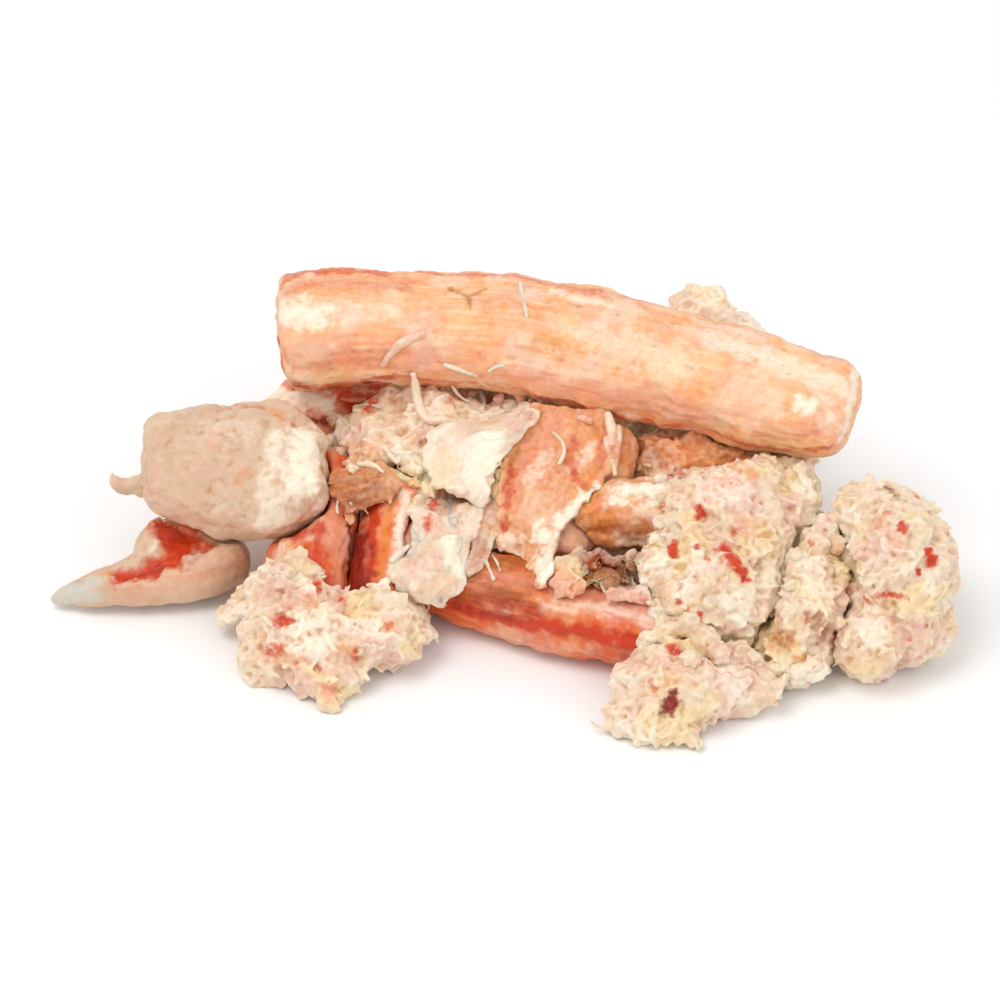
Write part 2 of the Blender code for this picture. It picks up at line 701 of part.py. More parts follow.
def ease_off(thing, cutter):
    """Moves an object's points out of a grown neighbour, a little at a time, then draws back the tips that still cross."""
    firm = tree_of(cutter)
    points = thing.data.vertices
    near = [[] for _ in points]
    for one, two in (e.vertices for e in thing.data.edges):
        near[one].append(two)
        near[two].append(one)
    for point in points:
        place, normal, _, _ = firm.find_nearest(point.co, EASE_REACH)
        if place is not None and (point.co - place).dot(normal) < 0:
            point.co = place + normal * EASE_STEP
    for turn in range(EASE_ROUNDS):
        pushes = {}
        for soft_face, firm_face in sorted(tree_of(thing).overlap(firm)):
            for index in thing.data.polygons[soft_face].vertices:
                pushes[index] = cutter.data.polygons[firm_face].normal
        if not pushes:
            break
        for index, normal in pushes.items():
            if turn < EASE_ROUNDS / 2:
                points[index].co += normal * EASE_STEP
            else:
                middle = sum((points[n].co for n in near[index]), Vector()) / len(near[index])
                points[index].co = points[index].co.lerp(middle, 0.5)


def settle(thing, firmer_things):
    """Leaves the contact gap to each firmer object: points are eased off first, and what still crosses is cut."""
    for leave_gap in (ease_off, ease_off, ease_off, cut):
        for firmer in firmer_things:
            cutter = grown(firmer, CONTACT_GAP)
            if overlap(thing, cutter):
                leave_gap(thing, cutter)
            drop(cutter)
        for point in thing.data.vertices:
            if point.co.z < SURFACE_Z + FLAT_WITHIN:
                point.co.z = SURFACE_Z
    keep_largest(thing)


def nestle(things, face_counts):
    """Lays the pieces on the surface and against each other."""
    below = surface_cutter()
    for number, (thing, faces) in enumerate(zip(things, face_counts)):
        low, _ = bounds([thing])
        if low[2] < SURFACE_Z:
            cut(thing, below)
        press_back(thing, things[:number])
        thin_out(thing, faces)
        settle(thing, things[:number])
    drop(below)


def centre_heap(things):
    """Puts the origin under the middle of the heap, on the surface that it lies on."""
    low, high = bounds(things)
    shift = Matrix.Translation((-(low[0] + high[0]) / 2, -(low[1] + high[1]) / 2, -low[2]))
    for thing in things:
        thing.data.transform(shift)
    return shift.translation


def main():
    clear_scene()
    things = [make() for make, _ in MAKERS]
    nestle(things, [faces for _, faces in MAKERS])
    shift = centre_heap(things)
    print("moved by", [round(x / MM, 2) for x in shift], "mm")
    for thing in things:
        thing.data.shade_smooth()
        print(thing.name, sum(len(p.vertices) - 2 for p in thing.data.polygons), "triangles")
    print(sum(len(p.vertices) - 2 for thing in things for p in thing.data.polygons), "triangles in all")


main()
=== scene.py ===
# %% [markdown]
# # A loose heap of picked crab meat
# The solids give every piece its place: legs, chunks, torn sheets and clumps of flakes. This lesson gives
# each of them its real surface. Clumps get thousands of small fibre bundles, legs get lengthwise fibres and
# red skin, and loose strands lie where pieces were pulled apart. All lengths are in metres, and +Z is up.

# %% Load the solids that everything is built on
import math

import bmesh
import bpy
import numpy as np
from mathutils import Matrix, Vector, noise
from mathutils.bvhtree import BVHTree


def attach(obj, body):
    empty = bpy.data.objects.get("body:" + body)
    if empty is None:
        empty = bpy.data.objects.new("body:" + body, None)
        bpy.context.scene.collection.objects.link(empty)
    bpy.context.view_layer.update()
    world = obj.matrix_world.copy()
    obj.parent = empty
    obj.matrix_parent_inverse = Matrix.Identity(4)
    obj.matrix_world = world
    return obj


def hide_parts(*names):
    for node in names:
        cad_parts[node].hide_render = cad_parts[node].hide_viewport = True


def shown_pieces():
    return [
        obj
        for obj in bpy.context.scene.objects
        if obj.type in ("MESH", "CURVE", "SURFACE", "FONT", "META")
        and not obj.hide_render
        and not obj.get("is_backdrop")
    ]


MM = 0.001
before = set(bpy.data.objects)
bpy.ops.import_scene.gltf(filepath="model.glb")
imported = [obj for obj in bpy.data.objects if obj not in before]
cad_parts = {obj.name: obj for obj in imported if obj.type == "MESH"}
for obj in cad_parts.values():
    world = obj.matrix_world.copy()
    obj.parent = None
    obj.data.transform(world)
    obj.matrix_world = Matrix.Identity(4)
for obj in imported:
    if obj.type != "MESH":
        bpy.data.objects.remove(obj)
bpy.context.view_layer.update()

# %% [markdown]
# ## The camera comes first
# The photo was taken with a long lens that looks down at the heap from the front. Long lenses keep near and
# far pieces at almost the same scale. The camera is set first, because later cells aim at the heap through
# it: a mark that is seen at some pixel of the photo is painted on the piece that the pixel's line of sight
# meets.

# %% A camera that sees what the photo shows
PHOTO_SIDE = 1000
PIXEL = 0.22 * MM
CAMERA_TILT = math.radians(38)
LENS, SENSOR = 0.200, 0.036
FLOOR_PIXEL = (500, 600)
FLOOR_POINT = Vector((-0.28, -5.96, 0)) * MM

right = Vector((1, 0, 0))
up = Vector((0, math.sin(CAMERA_TILT), math.cos(CAMERA_TILT)))
ahead = Vector((0, math.cos(CAMERA_TILT), -math.sin(CAMERA_TILT)))
distance = PHOTO_SIDE * PIXEL * LENS / SENSOR
middle = FLOOR_POINT + up * ((FLOOR_PIXEL[1] - PHOTO_SIDE / 2) * PIXEL)
eye = middle - ahead * distance

camera_data = bpy.data.cameras.new("camera")
camera_data.lens = LENS / MM
camera_data.sensor_width = SENSOR / MM
camera = bpy.data.objects.new("camera", camera_data)
camera.location = eye
camera.rotation_euler = (math.radians(90) - CAMERA_TILT, 0, 0)
bpy.context.scene.collection.objects.link(camera)
bpy.context.scene.camera = camera
print("the camera stands", round(distance, 2), "m away")


def sight(x, y):
    """The direction in which the camera sees a pixel of the photo."""
    beside, above = (x - PHOTO_SIDE / 2) * PIXEL, (PHOTO_SIDE / 2 - y) * PIXEL
    return (ahead * distance + right * beside + up * above).normalized()


# %% [markdown]
# ## Light
# A food photo like this one has a white ground and large soft lights, so shadows are faint and close to the
# pieces. One broad light from above and the front gives the moist gloss, a weaker one opens the shadows on
# the other side, and a pale world fills the rest. The Standard view keeps whites white.

# %% Two soft lights and a pale world
KEY_LIGHT = {"place": (-0.35, -0.25, 1.0), "size": 0.6, "watts": 4.3, "colour": (1.0, 0.985, 0.96)}
FILL_LIGHT = {"place": (0.7, -0.6, 0.6), "size": 0.8, "watts": 1.5, "colour": (0.95, 0.98, 1.0)}
WORLD_COLOUR, WORLD_STRENGTH = (1.0, 1.0, 1.0, 1.0), 0.78

scene = bpy.context.scene
scene.view_settings.view_transform = "Standard"


def add_light(name, place, size, watts, colour):
    """A square area light that looks at the heap."""
    data = bpy.data.lights.new(name, "AREA")
    data.shape, data.size, data.energy, data.color = "SQUARE", size, watts, colour
    lamp = bpy.data.objects.new(name, data)
    lamp.location = place
    lamp.rotation_euler = (middle - Vector(place)).to_track_quat("-Z", "Y").to_euler()
    scene.collection.objects.link(lamp)


add_light("key_light", **KEY_LIGHT)
add_light("fill_light", **FILL_LIGHT)

world = bpy.data.worlds.new("studio")
world.use_nodes = True
background = world.node_tree.nodes["Background"]
background.inputs["Color"].default_value = WORLD_COLOUR
background.inputs["Strength"].default_value = WORLD_STRENGTH
scene.world = world
print("the lights give", KEY_LIGHT["watts"], "and", FILL_LIGHT["watts"], "watts")

# %% [markdown]
# ## Sums written as Python
# Node trees are easier to read as formulas. One small class wraps a node's output, so that `1 - mask` or
# `grain * 0.3 + 0.5` adds the Math nodes by itself. Every other node comes from `add`, which takes the kind
# of node, its settings and the values or links of its sockets. The same class serves shaders and Geometry
# Nodes.

# %% A wrapped socket, and a tree that adds nodes


class Value:
    """An output socket that can be used in sums."""

    def __init__(self, tree, socket):
        self.tree, self.socket = tree, socket

    def sum_with(self, operation, first, second):
        return self.tree.add("ShaderNodeMath", {"operation": operation}, {0: first, 1: second})

    def __add__(self, other):
        return self.sum_with("ADD", self, other)

    def __sub__(self, other):
        return self.sum_with("SUBTRACT", self, other)

    def __mul__(self, other):
        return self.sum_with("MULTIPLY", self, other)

    def __rsub__(self, other):
        return self.sum_with("SUBTRACT", other, self)

    def __pow__(self, other):
        return self.sum_with("POWER", self, other)

    __radd__, __rmul__ = __add__, __mul__

    def steps(self, low, high):
        """0 below low, 1 above high, and a smooth rise between them. It falls where low is above high."""
        span = {"From Min": low, "From Max": high}
        if low > high:
            span = {"From Min": high, "From Max": low, "To Min": 1.0, "To Max": 0.0}
        smooth = {"interpolation_type": "SMOOTHSTEP"}
        return self.tree.add("ShaderNodeMapRange", smooth, {"Value": self, **span})


class Tree:
    """A node tree with one method that adds a node of any kind."""

    def __init__(self, nodes, links):
        self.nodes, self.links = nodes, links

    def add(self, kind, settings, sockets, out=0):
        """Adds a node: its settings first, then its sockets by name or number. Returns one output."""
        made = self.nodes.new(kind)
        for name, setting in settings.items():
            setattr(made, name, setting)
        for name, given in sockets.items():
            socket = made.inputs[name]
            if isinstance(given, Value):
                self.links.new(given.socket, socket)
            else:
                socket.default_value = given
        return Value(self, made.outputs[out])

    def mix(self, share, first, second, way="MIX"):
        """The first colour where share is 0 and the second, blended in that way, where it is 1."""
        colours = {0: share, 6: first, 7: second}
        return self.add("ShaderNodeMix", {"data_type": "RGBA", "blend_type": way}, colours, out=2)


def colour(red, green, blue):
    """A colour as a screen shows it, 0 to 255 each, turned into light by the curve that screens use."""
    light = [c / 255 / 12.92 if c <= 10 else ((c / 255 + 0.055) / 1.055) ** 2.4 for c in (red, green, blue)]
    return (*light, 1.0)


# %% [markdown]
# ## The floor
# The heap lies on something plain and white, which shows only by its faint shadows. A bent backdrop would
# also do, but one large flat face with a dull finish is enough, because the camera looks down. Only the
# studio has it, so it is declared as stage and never becomes a part of the heap.

# %% A dull white floor
FLOOR_SIDE = 4.0
FLOOR_FINISH = {"Base Color": (0.95, 0.955, 0.965, 1.0), "Roughness": 0.9, "Specular IOR Level": 0.0}

floor_mesh = bpy.data.meshes.new("floor")
low, high = -FLOOR_SIDE / 2, FLOOR_SIDE / 2
floor_mesh.from_pydata([(low, low, 0), (high, low, 0), (high, high, 0), (low, high, 0)], [], [(0, 1, 2, 3)])
floor = bpy.data.objects.new("floor", floor_mesh)
scene.collection.objects.link(floor)
floor_paint = bpy.data.materials.new("floor_white")
floor_paint.use_nodes = True
for socket, setting in FLOOR_FINISH.items():
    floor_paint.node_tree.nodes["Principled BSDF"].inputs[socket].default_value = setting
floor_mesh.materials.append(floor_paint)
floor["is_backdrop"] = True
print("the floor is", FLOOR_SIDE, "m wide")

# %% [markdown]
# ## Tools for meshes
# Each solid is faceted, so its copy is given a fine even skin before it is carved. A voxel remesh does
# that, and it also melts fibres that cross into one soft mass, as wet flakes of meat do. Modifiers are
# turned into plain meshes at once, so that every piece ends as ordinary geometry with its place in its
# mesh.

# %% Copies, even skins and applied modifiers
WELD_REACH = 0.01 * MM
ROUNDINGS = 2
EASE = 0.5


def add_piece(name, mesh):
    """A new object for a mesh that already has its place."""
    mesh.name = name
    piece = bpy.data.objects.new(name, mesh)
    scene.collection.objects.link(piece)
    return piece


def bake(piece):
    """Replaces a piece's mesh with what its modifiers make of it."""
    graph = bpy.context.evaluated_depsgraph_get()
    made = bpy.data.meshes.new_from_object(piece.evaluated_get(graph))
    old, piece.data = piece.data, made
    made.name = piece.name
    piece.modifiers.clear()
    bpy.data.meshes.remove(old)


def even_skin(piece, step, smoothing):
    """Gives a piece a new skin with faces of one size, then smooths it this many times."""
    skin = piece.modifiers.new("skin", "REMESH")
    skin.mode, skin.voxel_size = "VOXEL", step
    if smoothing:
        soft = piece.modifiers.new("soft", "SMOOTH")
        soft.factor, soft.iterations = EASE, smoothing
    bake(piece)


def copy_of(node, name, step, smoothing):
    """A fine-skinned copy of a solid."""
    piece = add_piece(name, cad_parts[node].data.copy())
    weld = piece.modifiers.new("weld", "WELD")
    weld.merge_threshold = WELD_REACH
    rounded = piece.modifiers.new("rounded", "SUBSURF")
    rounded.levels = rounded.render_levels = ROUNDINGS
    bake(piece)
    even_skin(piece, step, smoothing)
    return piece


# %% [markdown]
# ## Vertices as rows of numbers
# A piece has up to a hundred thousand vertices, and a loop over each of them is slow. Their places are read
# into one array instead, changed all at once and written back. Numbers that the shader needs are stored on
# the vertices in the same way.

# %% Reading, moving and marking vertices
SEED_STEPS = (3.7, 1.3, 2.9)


def points_of(piece):
    """A piece's vertices as rows of x, y, z."""
    flat = np.empty(len(piece.data.vertices) * 3)
    piece.data.vertices.foreach_get("co", flat)
    return flat.reshape(-1, 3)


def normals_of(piece):
    """The outward direction at each vertex."""
    flat = np.empty(len(piece.data.vertices) * 3)
    piece.data.vertices.foreach_get("normal", flat)
    return flat.reshape(-1, 3)


def move_points(piece, points):
    """Writes new places for a piece's vertices."""
    piece.data.vertices.foreach_set("co", points.ravel())
    piece.data.update()


def store(piece, name, values):
    """Keeps a number for each vertex, for the shader to read."""
    kind = "FLOAT" if values.ndim == 1 else "FLOAT_VECTOR"
    made = piece.data.attributes.new(name, kind, "POINT")
    made.data.foreach_set("value" if kind == "FLOAT" else "vector", values.astype(np.float32).ravel())


def main_direction(points):
    """The direction in which a piece is longest."""
    return np.linalg.eigh(np.cov(points.T))[1][:, -1]


def noise_at(points, size, seed):
    """Smooth noise from -1 to 1 at each point, with lumps of the given size."""
    shift = Vector([seed * step for step in SEED_STEPS])
    return np.array([noise.noise(Vector(p) / size + shift) for p in points])


def smooth_share(values, low, high):
    """0 at low, 1 at high and a smooth rise between them."""
    share = np.clip((values - low) / (high - low), 0, 1)
    return share * share * (3 - 2 * share)


# %% [markdown]
# ## Where a mark of the photo lies on a piece
# A line of sight through a pixel meets the piece at one point. A painted line is a chain of such points,
# and a vertex takes the mark where it is near the chain. Noise shifts the distance, so marks end in ragged
# edges like torn skin does. Marks are written as text, to be read at a glance: a line starts with its mask,
# bars part its marks, and a mark is its strength, its half width in pixels and its pixels, each one as x,y.
# All were chosen.

# %% Lines of sight and painted lines
SOLID_WITHIN, GONE_BEYOND, REACH = 0.25, 1.6, 2.4
LARGEST_TEAR = 3.0 * MM
FINE_TEARS, FINE_SHARE, FINE_SEED = 3, 0.5, 5
RAGGED = 0.7


def numbers_and_pixels(text):
    """Reads text such as 0.9 5 902,525 904,530: its plain numbers, then its pixels."""
    words = text.split()
    numbers = [float(word) for word in words if "," not in word]
    return numbers, [tuple(map(float, word.split(","))) for word in words if "," in word]


def marks_in(text):
    """The marks of each mask in a text, in the order in which the masks first come."""
    masks = {}
    for line in text.strip().splitlines():
        mask, marks = line.split(maxsplit=1)
        masks.setdefault(mask, []).extend(map(numbers_and_pixels, marks.split("|")))
    return masks


def surface_of(piece):
    """A tree of a piece's faces, to find where a line of sight meets it."""
    return BVHTree.FromObject(piece, bpy.context.evaluated_depsgraph_get())


def distance_to_chain(points, chain):
    """How far each point is from a chain of points."""
    nearest = np.full(len(points), np.inf)
    ends = list(zip(chain, chain[1:])) or [(chain[0], chain[0])]
    for a, b in ends:
        a, b = np.array(a), np.array(b)
        along = b - a
        share = np.clip((points - a) @ along / max(along @ along, 1e-12), 0, 1)
        nearest = np.minimum(nearest, np.linalg.norm(points - a - share[:, None] * along, axis=1))
    return nearest


def paint(piece, text, ragged=RAGGED):
    """Stores the masks of a text's marks on a piece. Ragged says how far noise moves the marks' edges."""
    surface, points = surface_of(piece), points_of(piece)
    for seed, (mask, marks) in enumerate(marks_in(text).items()):
        cover = np.zeros(len(points))
        for (strength, width), pixels in marks:
            chain = [p for p in (surface.ray_cast(eye, sight(x, y))[0] for x, y in pixels) if p]
            if not chain:
                print("no part of", piece.name, "shows at", pixels)
                continue
            far = distance_to_chain(points, chain) / (width * PIXEL)
            close = np.flatnonzero(far < REACH)
            tear = min(width * PIXEL, LARGEST_TEAR)
            rough = noise_at(points[close], tear, seed)
            rough += FINE_SHARE * noise_at(points[close], tear / FINE_TEARS, seed + FINE_SEED)
            covered = strength * (1 - smooth_share(far[close] + rough * ragged, SOLID_WITHIN, GONE_BEYOND))
            cover[close] = np.maximum(cover[close], covered)
        store(piece, mask, cover)


# %% [markdown]
# ## Which way the fibres run
# Leg meat is one long bundle. Each of its vertices stores a place in stretched space: the way along the
# bundle is squeezed, the way across it isn't. Noise read at that place becomes long thin streaks that
# follow the piece.

# %% Stretched places along a piece
SLICES = 24
FIBRE_ACROSS, FIBRE_ALONG = 0.8 * MM, 9.0 * MM


def lay_grain(piece, direction=None, across=FIBRE_ACROSS, along=FIBRE_ALONG):
    """Stores the stretched place of each vertex, measured from the centreline of its slice."""
    points = points_of(piece)
    direction = main_direction(points) if direction is None else np.array(Vector(direction).normalized())
    way = points @ direction
    edges = np.linspace(way.min(), way.max(), SLICES + 1)
    middles = (edges[1:] + edges[:-1]) / 2
    inside = [points[(way >= a) & (way <= b)] for a, b in zip(edges, edges[1:])]
    line = np.array([p.mean(axis=0) if len(p) else points.mean(axis=0) for p in inside])
    centre = np.stack([np.interp(way, middles, line[:, i]) for i in range(3)], axis=1)
    offset = points - centre
    offset -= np.outer(offset @ direction, direction)
    store(piece, "grain", offset / across + np.outer(way, direction) / along)


# %% [markdown]
# ## Geometry Nodes trees
# Each tree is built here with named inputs. A piece gets a tree as a modifier, its inputs are set by the
# sockets' identifiers, and the result is baked into a plain mesh.

# %% Building a tree and growing it on a piece


def new_tree(name, inputs):
    """A Geometry Nodes tree with these inputs. Returns the tree, a dict of its inputs and its group."""
    group = bpy.data.node_groups.new(name, "GeometryNodeTree")
    group.interface.new_socket("Geometry", in_out="INPUT", socket_type="NodeSocketGeometry")
    for label, kind in inputs.items():
        group.interface.new_socket(label, in_out="INPUT", socket_type="NodeSocket" + kind)
    group.interface.new_socket("Geometry", in_out="OUTPUT", socket_type="NodeSocketGeometry")
    tree = Tree(group.nodes, group.links)
    entry = group.nodes.new("NodeGroupInput")
    given = {label: Value(tree, entry.outputs[label]) for label in ["Geometry", *inputs]}
    return tree, given, group


def end_tree(tree, geometry, material):
    """Realizes what a tree made, gives it its material and sends it out."""
    geometry = tree.add("GeometryNodeRealizeInstances", {}, {"Geometry": geometry})
    geometry = tree.add("GeometryNodeSetMaterial", {}, {"Geometry": geometry, "Material": material})
    leaving = tree.nodes.new("NodeGroupOutput")
    tree.links.new(geometry.socket, leaving.inputs["Geometry"])


def grow(piece, group, **values):
    """Runs a tree on a piece and bakes the result. Underscores in a name stand for spaces."""
    modifier = piece.modifiers.new(group.name, "NODES")
    modifier.node_group = group
    for item in group.interface.items_tree:
        label = item.name.replace(" ", "_")
        if item.in_out == "INPUT" and label in values:
            modifier[item.identifier] = values[label]
    bake(piece)


def random_number(tree, low, high, seed):
    """A number of its own for each element."""
    span = {2: low, 3: high, "Seed": seed}
    return tree.add("FunctionNodeRandomValue", {"data_type": "FLOAT"}, span, out=1)


def vector_math(tree, operation, first, second, out=0):
    """Vector Math on two vectors."""
    return tree.add("ShaderNodeVectorMath", {"operation": operation}, {0: first, 1: second}, out=out)


def scaled(tree, vector, size):
    """A vector times a number."""
    return tree.add("ShaderNodeVectorMath", {"operation": "SCALE"}, {0: vector, "Scale": size})


SHIFT_SHARES = (0.7, 0.3)


def noise_of(tree, vector, scale, detail, shift):
    """A noise from 0 to 1, read at a shifted place so that no two are alike."""
    away = tree.add("ShaderNodeCombineXYZ", {}, {
        "X": shift, "Y": shift * SHIFT_SHARES[0], "Z": shift * SHIFT_SHARES[1]})
    moved = vector_math(tree, "ADD", scaled(tree, vector, scale), away)
    return tree.add("ShaderNodeTexNoise", {}, {"Vector": moved, "Scale": 1.0, "Detail": detail})


def store_in_tree(tree, geometry, label, value):
    """Stores a number on each point of a geometry."""
    return tree.add("GeometryNodeStoreNamedAttribute", {"data_type": "FLOAT", "domain": "POINT"},
                    {"Geometry": geometry, "Name": label, "Value": value})


# %% [markdown]
# ## Flesh is bundles of fibres
# Crab muscle is made of short parallel fibres. When it is picked it breaks into small bundles, which lie
# every way but agree with their neighbours. The tree scatters points on the shrunken skin of a clump, lays
# one flattened, tapered bundle on each along a slowly turning direction, and then bends them all with
# noise.

# %% The tree that lays fibres on a skin
FIBRE_SIDES, FIBRE_POINTS = 6, 6
BLUNTNESS, TIP = 0.3, 0.2
MOST_PER_SQUARE_METRE = 4.0e6
WOBBLE_SIZE = 3.0 * MM
OWN_WAY_LOW, OWN_WAY_HIGH = (-0.65, -0.65, -0.65), (-0.35, -0.35, -0.35)
LIFTS, LENGTHS, THICKNESSES, BREADTHS = (-0.4, 1.0), (0.45, 1.3), (0.6, 1.3), (1.0, 2.2)
FLATTENED = 0.75
SEED_STEP = 7.3

tree, given, fibres_group = new_tree("fibres", {
    "Spacing": "Float", "Length": "Float", "Thickness": "Float", "Grain Size": "Float",
    "Lift": "Float", "Wobble": "Float", "Seed": "Int", "Material": "Material",
})
line = tree.add("GeometryNodeCurvePrimitiveLine", {}, {"Start": (0.0, 0.0, -0.5), "End": (0.0, 0.0, 0.5)})
line = tree.add("GeometryNodeResampleCurve", {}, {"Curve": line, "Count": FIBRE_POINTS})
ring = tree.add("GeometryNodeCurvePrimitiveCircle", {}, {"Resolution": FIBRE_SIDES, "Radius": 0.5})
way = tree.add("GeometryNodeSplineParameter", {}, {})
taper = (4.0 * way * (1.0 - way)) ** BLUNTNESS * (1.0 - TIP) + TIP
fibre = tree.add("GeometryNodeCurveToMesh", {},
                 {"Curve": line, "Profile Curve": ring, "Scale": taper, "Fill Caps": True})

place = tree.add("GeometryNodeInputPosition", {}, {})
points = tree.add("GeometryNodeDistributePointsOnFaces", {"distribute_method": "POISSON"}, {
    "Mesh": given["Geometry"], "Distance Min": given["Spacing"], "Density Max": MOST_PER_SQUARE_METRE,
    "Seed": given["Seed"]})
outward = Value(tree, points.socket.node.outputs["Normal"])
turning = vector_math(tree, "DIVIDE", place, tree.add("ShaderNodeCombineXYZ", {}, {
    "X": given["Grain Size"], "Y": given["Grain Size"], "Z": given["Grain Size"]}))
shift = tree.add("ShaderNodeCombineXYZ", {}, {"X": given["Seed"] * SEED_STEP})
shifted = vector_math(tree, "ADD", turning, shift)
direction = tree.add("ShaderNodeTexNoise", {}, {"Vector": shifted, "Scale": 1.0, "Detail": 1.0}, out=1)
own = tree.add("FunctionNodeRandomValue", {"data_type": "FLOAT_VECTOR"},
               {0: OWN_WAY_LOW, 1: OWN_WAY_HIGH, "Seed": given["Seed"] + 3.0})
direction = vector_math(tree, "ADD", direction, own)
flat = vector_math(tree, "CROSS_PRODUCT", direction, outward)
flat = tree.add("ShaderNodeVectorMath", {"operation": "NORMALIZE"}, {0: flat})
lift = random_number(tree, *LIFTS, given["Seed"] + 5.0) * given["Lift"]
direction = vector_math(tree, "ADD", flat, scaled(tree, outward, lift))
turn = tree.add("FunctionNodeAlignRotationToVector", {"axis": "Z"}, {"Vector": direction})
points = store_in_tree(tree, points, "tint", random_number(tree, 0.0, 1.0, given["Seed"] + 1.0))
long = given["Length"] * random_number(tree, *LENGTHS, given["Seed"] + 2.0)
thick = given["Thickness"] * random_number(tree, *THICKNESSES, given["Seed"] + 4.0)
broad = thick * random_number(tree, *BREADTHS, given["Seed"] + 6.0)
size = tree.add("ShaderNodeCombineXYZ", {}, {"X": broad, "Y": thick * FLATTENED, "Z": long})
laid = tree.add("GeometryNodeInstanceOnPoints", {},
                {"Points": points, "Instance": fibre, "Rotation": turn, "Scale": size})
laid = tree.add("GeometryNodeRealizeInstances", {}, {"Geometry": laid})
bend = {"Vector": place, "Scale": 1.0 / WOBBLE_SIZE, "Detail": 2.0}
bend = tree.add("ShaderNodeTexNoise", {}, bend, out=1)
bend = scaled(tree, vector_math(tree, "SUBTRACT", bend, (0.5, 0.5, 0.5)), given["Wobble"] * 2.0)
laid = tree.add("GeometryNodeSetPosition", {}, {"Geometry": laid, "Offset": bend})
both = tree.nodes.new("GeometryNodeJoinGeometry")
for part in (given["Geometry"], laid):
    tree.links.new(part.socket, both.inputs["Geometry"])
end_tree(tree, Value(tree, both.outputs[0]), given["Material"])
print("the fibre tree has", len(tree.nodes), "nodes")

# %% [markdown]
# ## Lumps, streaks and crumbs
# Torn meat is uneven at every size. It could be sculpted by hand, but noise does it evenly and can be
# repeated. One tree raises and lowers a skin by three noises: broad lumps, streaks along the stored grain,
# and fine crumbs.

# %% The tree that carves relief
LUMP_SIZE, CRUMB_SIZE = 5.0 * MM, 1.3 * MM
STREAK_SCALE = 0.45

tree, given, relief_group = new_tree("relief", {
    "Lumps": "Float", "Streaks": "Float", "Crumbs": "Float", "Seed": "Float", "Material": "Material"})
place = tree.add("GeometryNodeInputPosition", {}, {})
outward = tree.add("GeometryNodeInputNormal", {}, {})
grain = tree.add("GeometryNodeInputNamedAttribute", {"data_type": "FLOAT_VECTOR"}, {"Name": "grain"})
seed = given["Seed"]
lumps = noise_of(tree, place, 1 / LUMP_SIZE, 2.0, seed) - 0.5
streaks = noise_of(tree, grain, STREAK_SCALE, 3.0, seed) - 0.5
crumbs = noise_of(tree, place, 1 / CRUMB_SIZE, 3.0, seed) - 0.5
rise = lumps * given["Lumps"] + streaks * given["Streaks"] + crumbs * given["Crumbs"]
rise = scaled(tree, outward, rise * 2.0)
carved = tree.add("GeometryNodeSetPosition", {}, {"Geometry": given["Geometry"], "Offset": rise})
end_tree(tree, carved, given["Material"])
print("lumps are", LUMP_SIZE / MM, "mm wide and crumbs", CRUMB_SIZE / MM, "mm")

# %% [markdown]
# ## Reading the relief back
# A fused skin has lost the tints of its fibres, so each vertex takes the tint of the nearest spot on the
# fibres before they were fused. The tree also stores how far each vertex stands above its blurred
# neighbourhood. The shader uses that to paint highlights on ridges and warm shade into crevices.

# %% The tree that reads tints and relief
NEAR_ROUNDS, WIDE_ROUNDS = 5, 60

tree, given, read_group = new_tree("read_back", {"Source": "Object", "Material": "Material"})
source = tree.add("GeometryNodeObjectInfo", {"transform_space": "ORIGINAL"},
                  {"Object": given["Source"]}, out=4)
kept = tree.add("GeometryNodeInputNamedAttribute", {"data_type": "FLOAT"}, {"Name": "tint"})
nearest = tree.add("GeometryNodeSampleNearestSurface", {"data_type": "FLOAT"},
                   {"Mesh": source, "Value": kept})
skin = store_in_tree(tree, given["Geometry"], "tint", nearest)
place = tree.add("GeometryNodeInputPosition", {}, {})
outward = tree.add("GeometryNodeInputNormal", {}, {})
for label, rounds in (("near", NEAR_ROUNDS), ("wide", WIDE_ROUNDS)):
    blurred = tree.add("GeometryNodeBlurAttribute", {"data_type": "FLOAT_VECTOR"},
                       {"Value": place, "Iterations": rounds})
    rise = vector_math(tree, "DOT_PRODUCT", vector_math(tree, "SUBTRACT", place, blurred), outward, out=1)
    skin = store_in_tree(tree, skin, label, rise * (1 / MM))
end_tree(tree, skin, given["Material"])
print("relief is read over", NEAR_ROUNDS, "and", WIDE_ROUNDS, "rounds of blur")

# %% [markdown]
# ## The flesh finish
# Cooked crab is a milky, slightly clear protein, so light goes a few millimetres in and comes out warm. Red
# pigment sits in the skin, in streaks and specks. The formula starts from a base colour, turns it with slow
# noise, paints highlights on ridges, lays the painted masks over it, and paints warm shade into creases and
# hollows. Its surface is moist but not wet, so its roughness is middling and varies.

# %% One formula for every slot
# Mask colours: mostly the flesh's own, but some brown, dark, amber, rose and clear marks are painted shade.
MASKS = {
    "rose": colour(232, 150, 122),
    "amber": colour(232, 140, 36),
    "pale": colour(250, 239, 219),
    "clear": colour(204, 206, 198),
    "brown": colour(166, 88, 16),
    "red": colour(206, 60, 12),
    "dark": colour(140, 24, 0),
}
FLUSH = colour(228, 188, 170)
SPECK = colour(214, 106, 58)
ZONES = ((FLUSH, 0.8), (colour(238, 214, 162), 0.8), (colour(250, 240, 224), 0.6))
# The warm colour that multiplies creases and hollows, as painted shade.
PAINTED_CREVICE_SHADE = (0.86, 0.66, 0.46, 1.0)
# Each noise has its lumps in a metre, its detail and its shift. LINES is read in the stretched grain.
SLOW, QUICK, SPECKLED, FLECKED = (110.0, 3.0, 0.1), (600.0, 4.0, 0.3), (300.0, 1.0, 0.7), (55.0, 3.0, 4.1)
MOTTLED, PORES, DIMPLES, LINES = (900.0, 3.0, 0.2), (1500.0, 4.0, 0.4), (500.0, 2.0, 0.6), (0.8, 3.0, 0.9)
ZONE_SCALE, ZONE_SHIFT, CELL_SCALE = 85.0, 2.3, 0.62
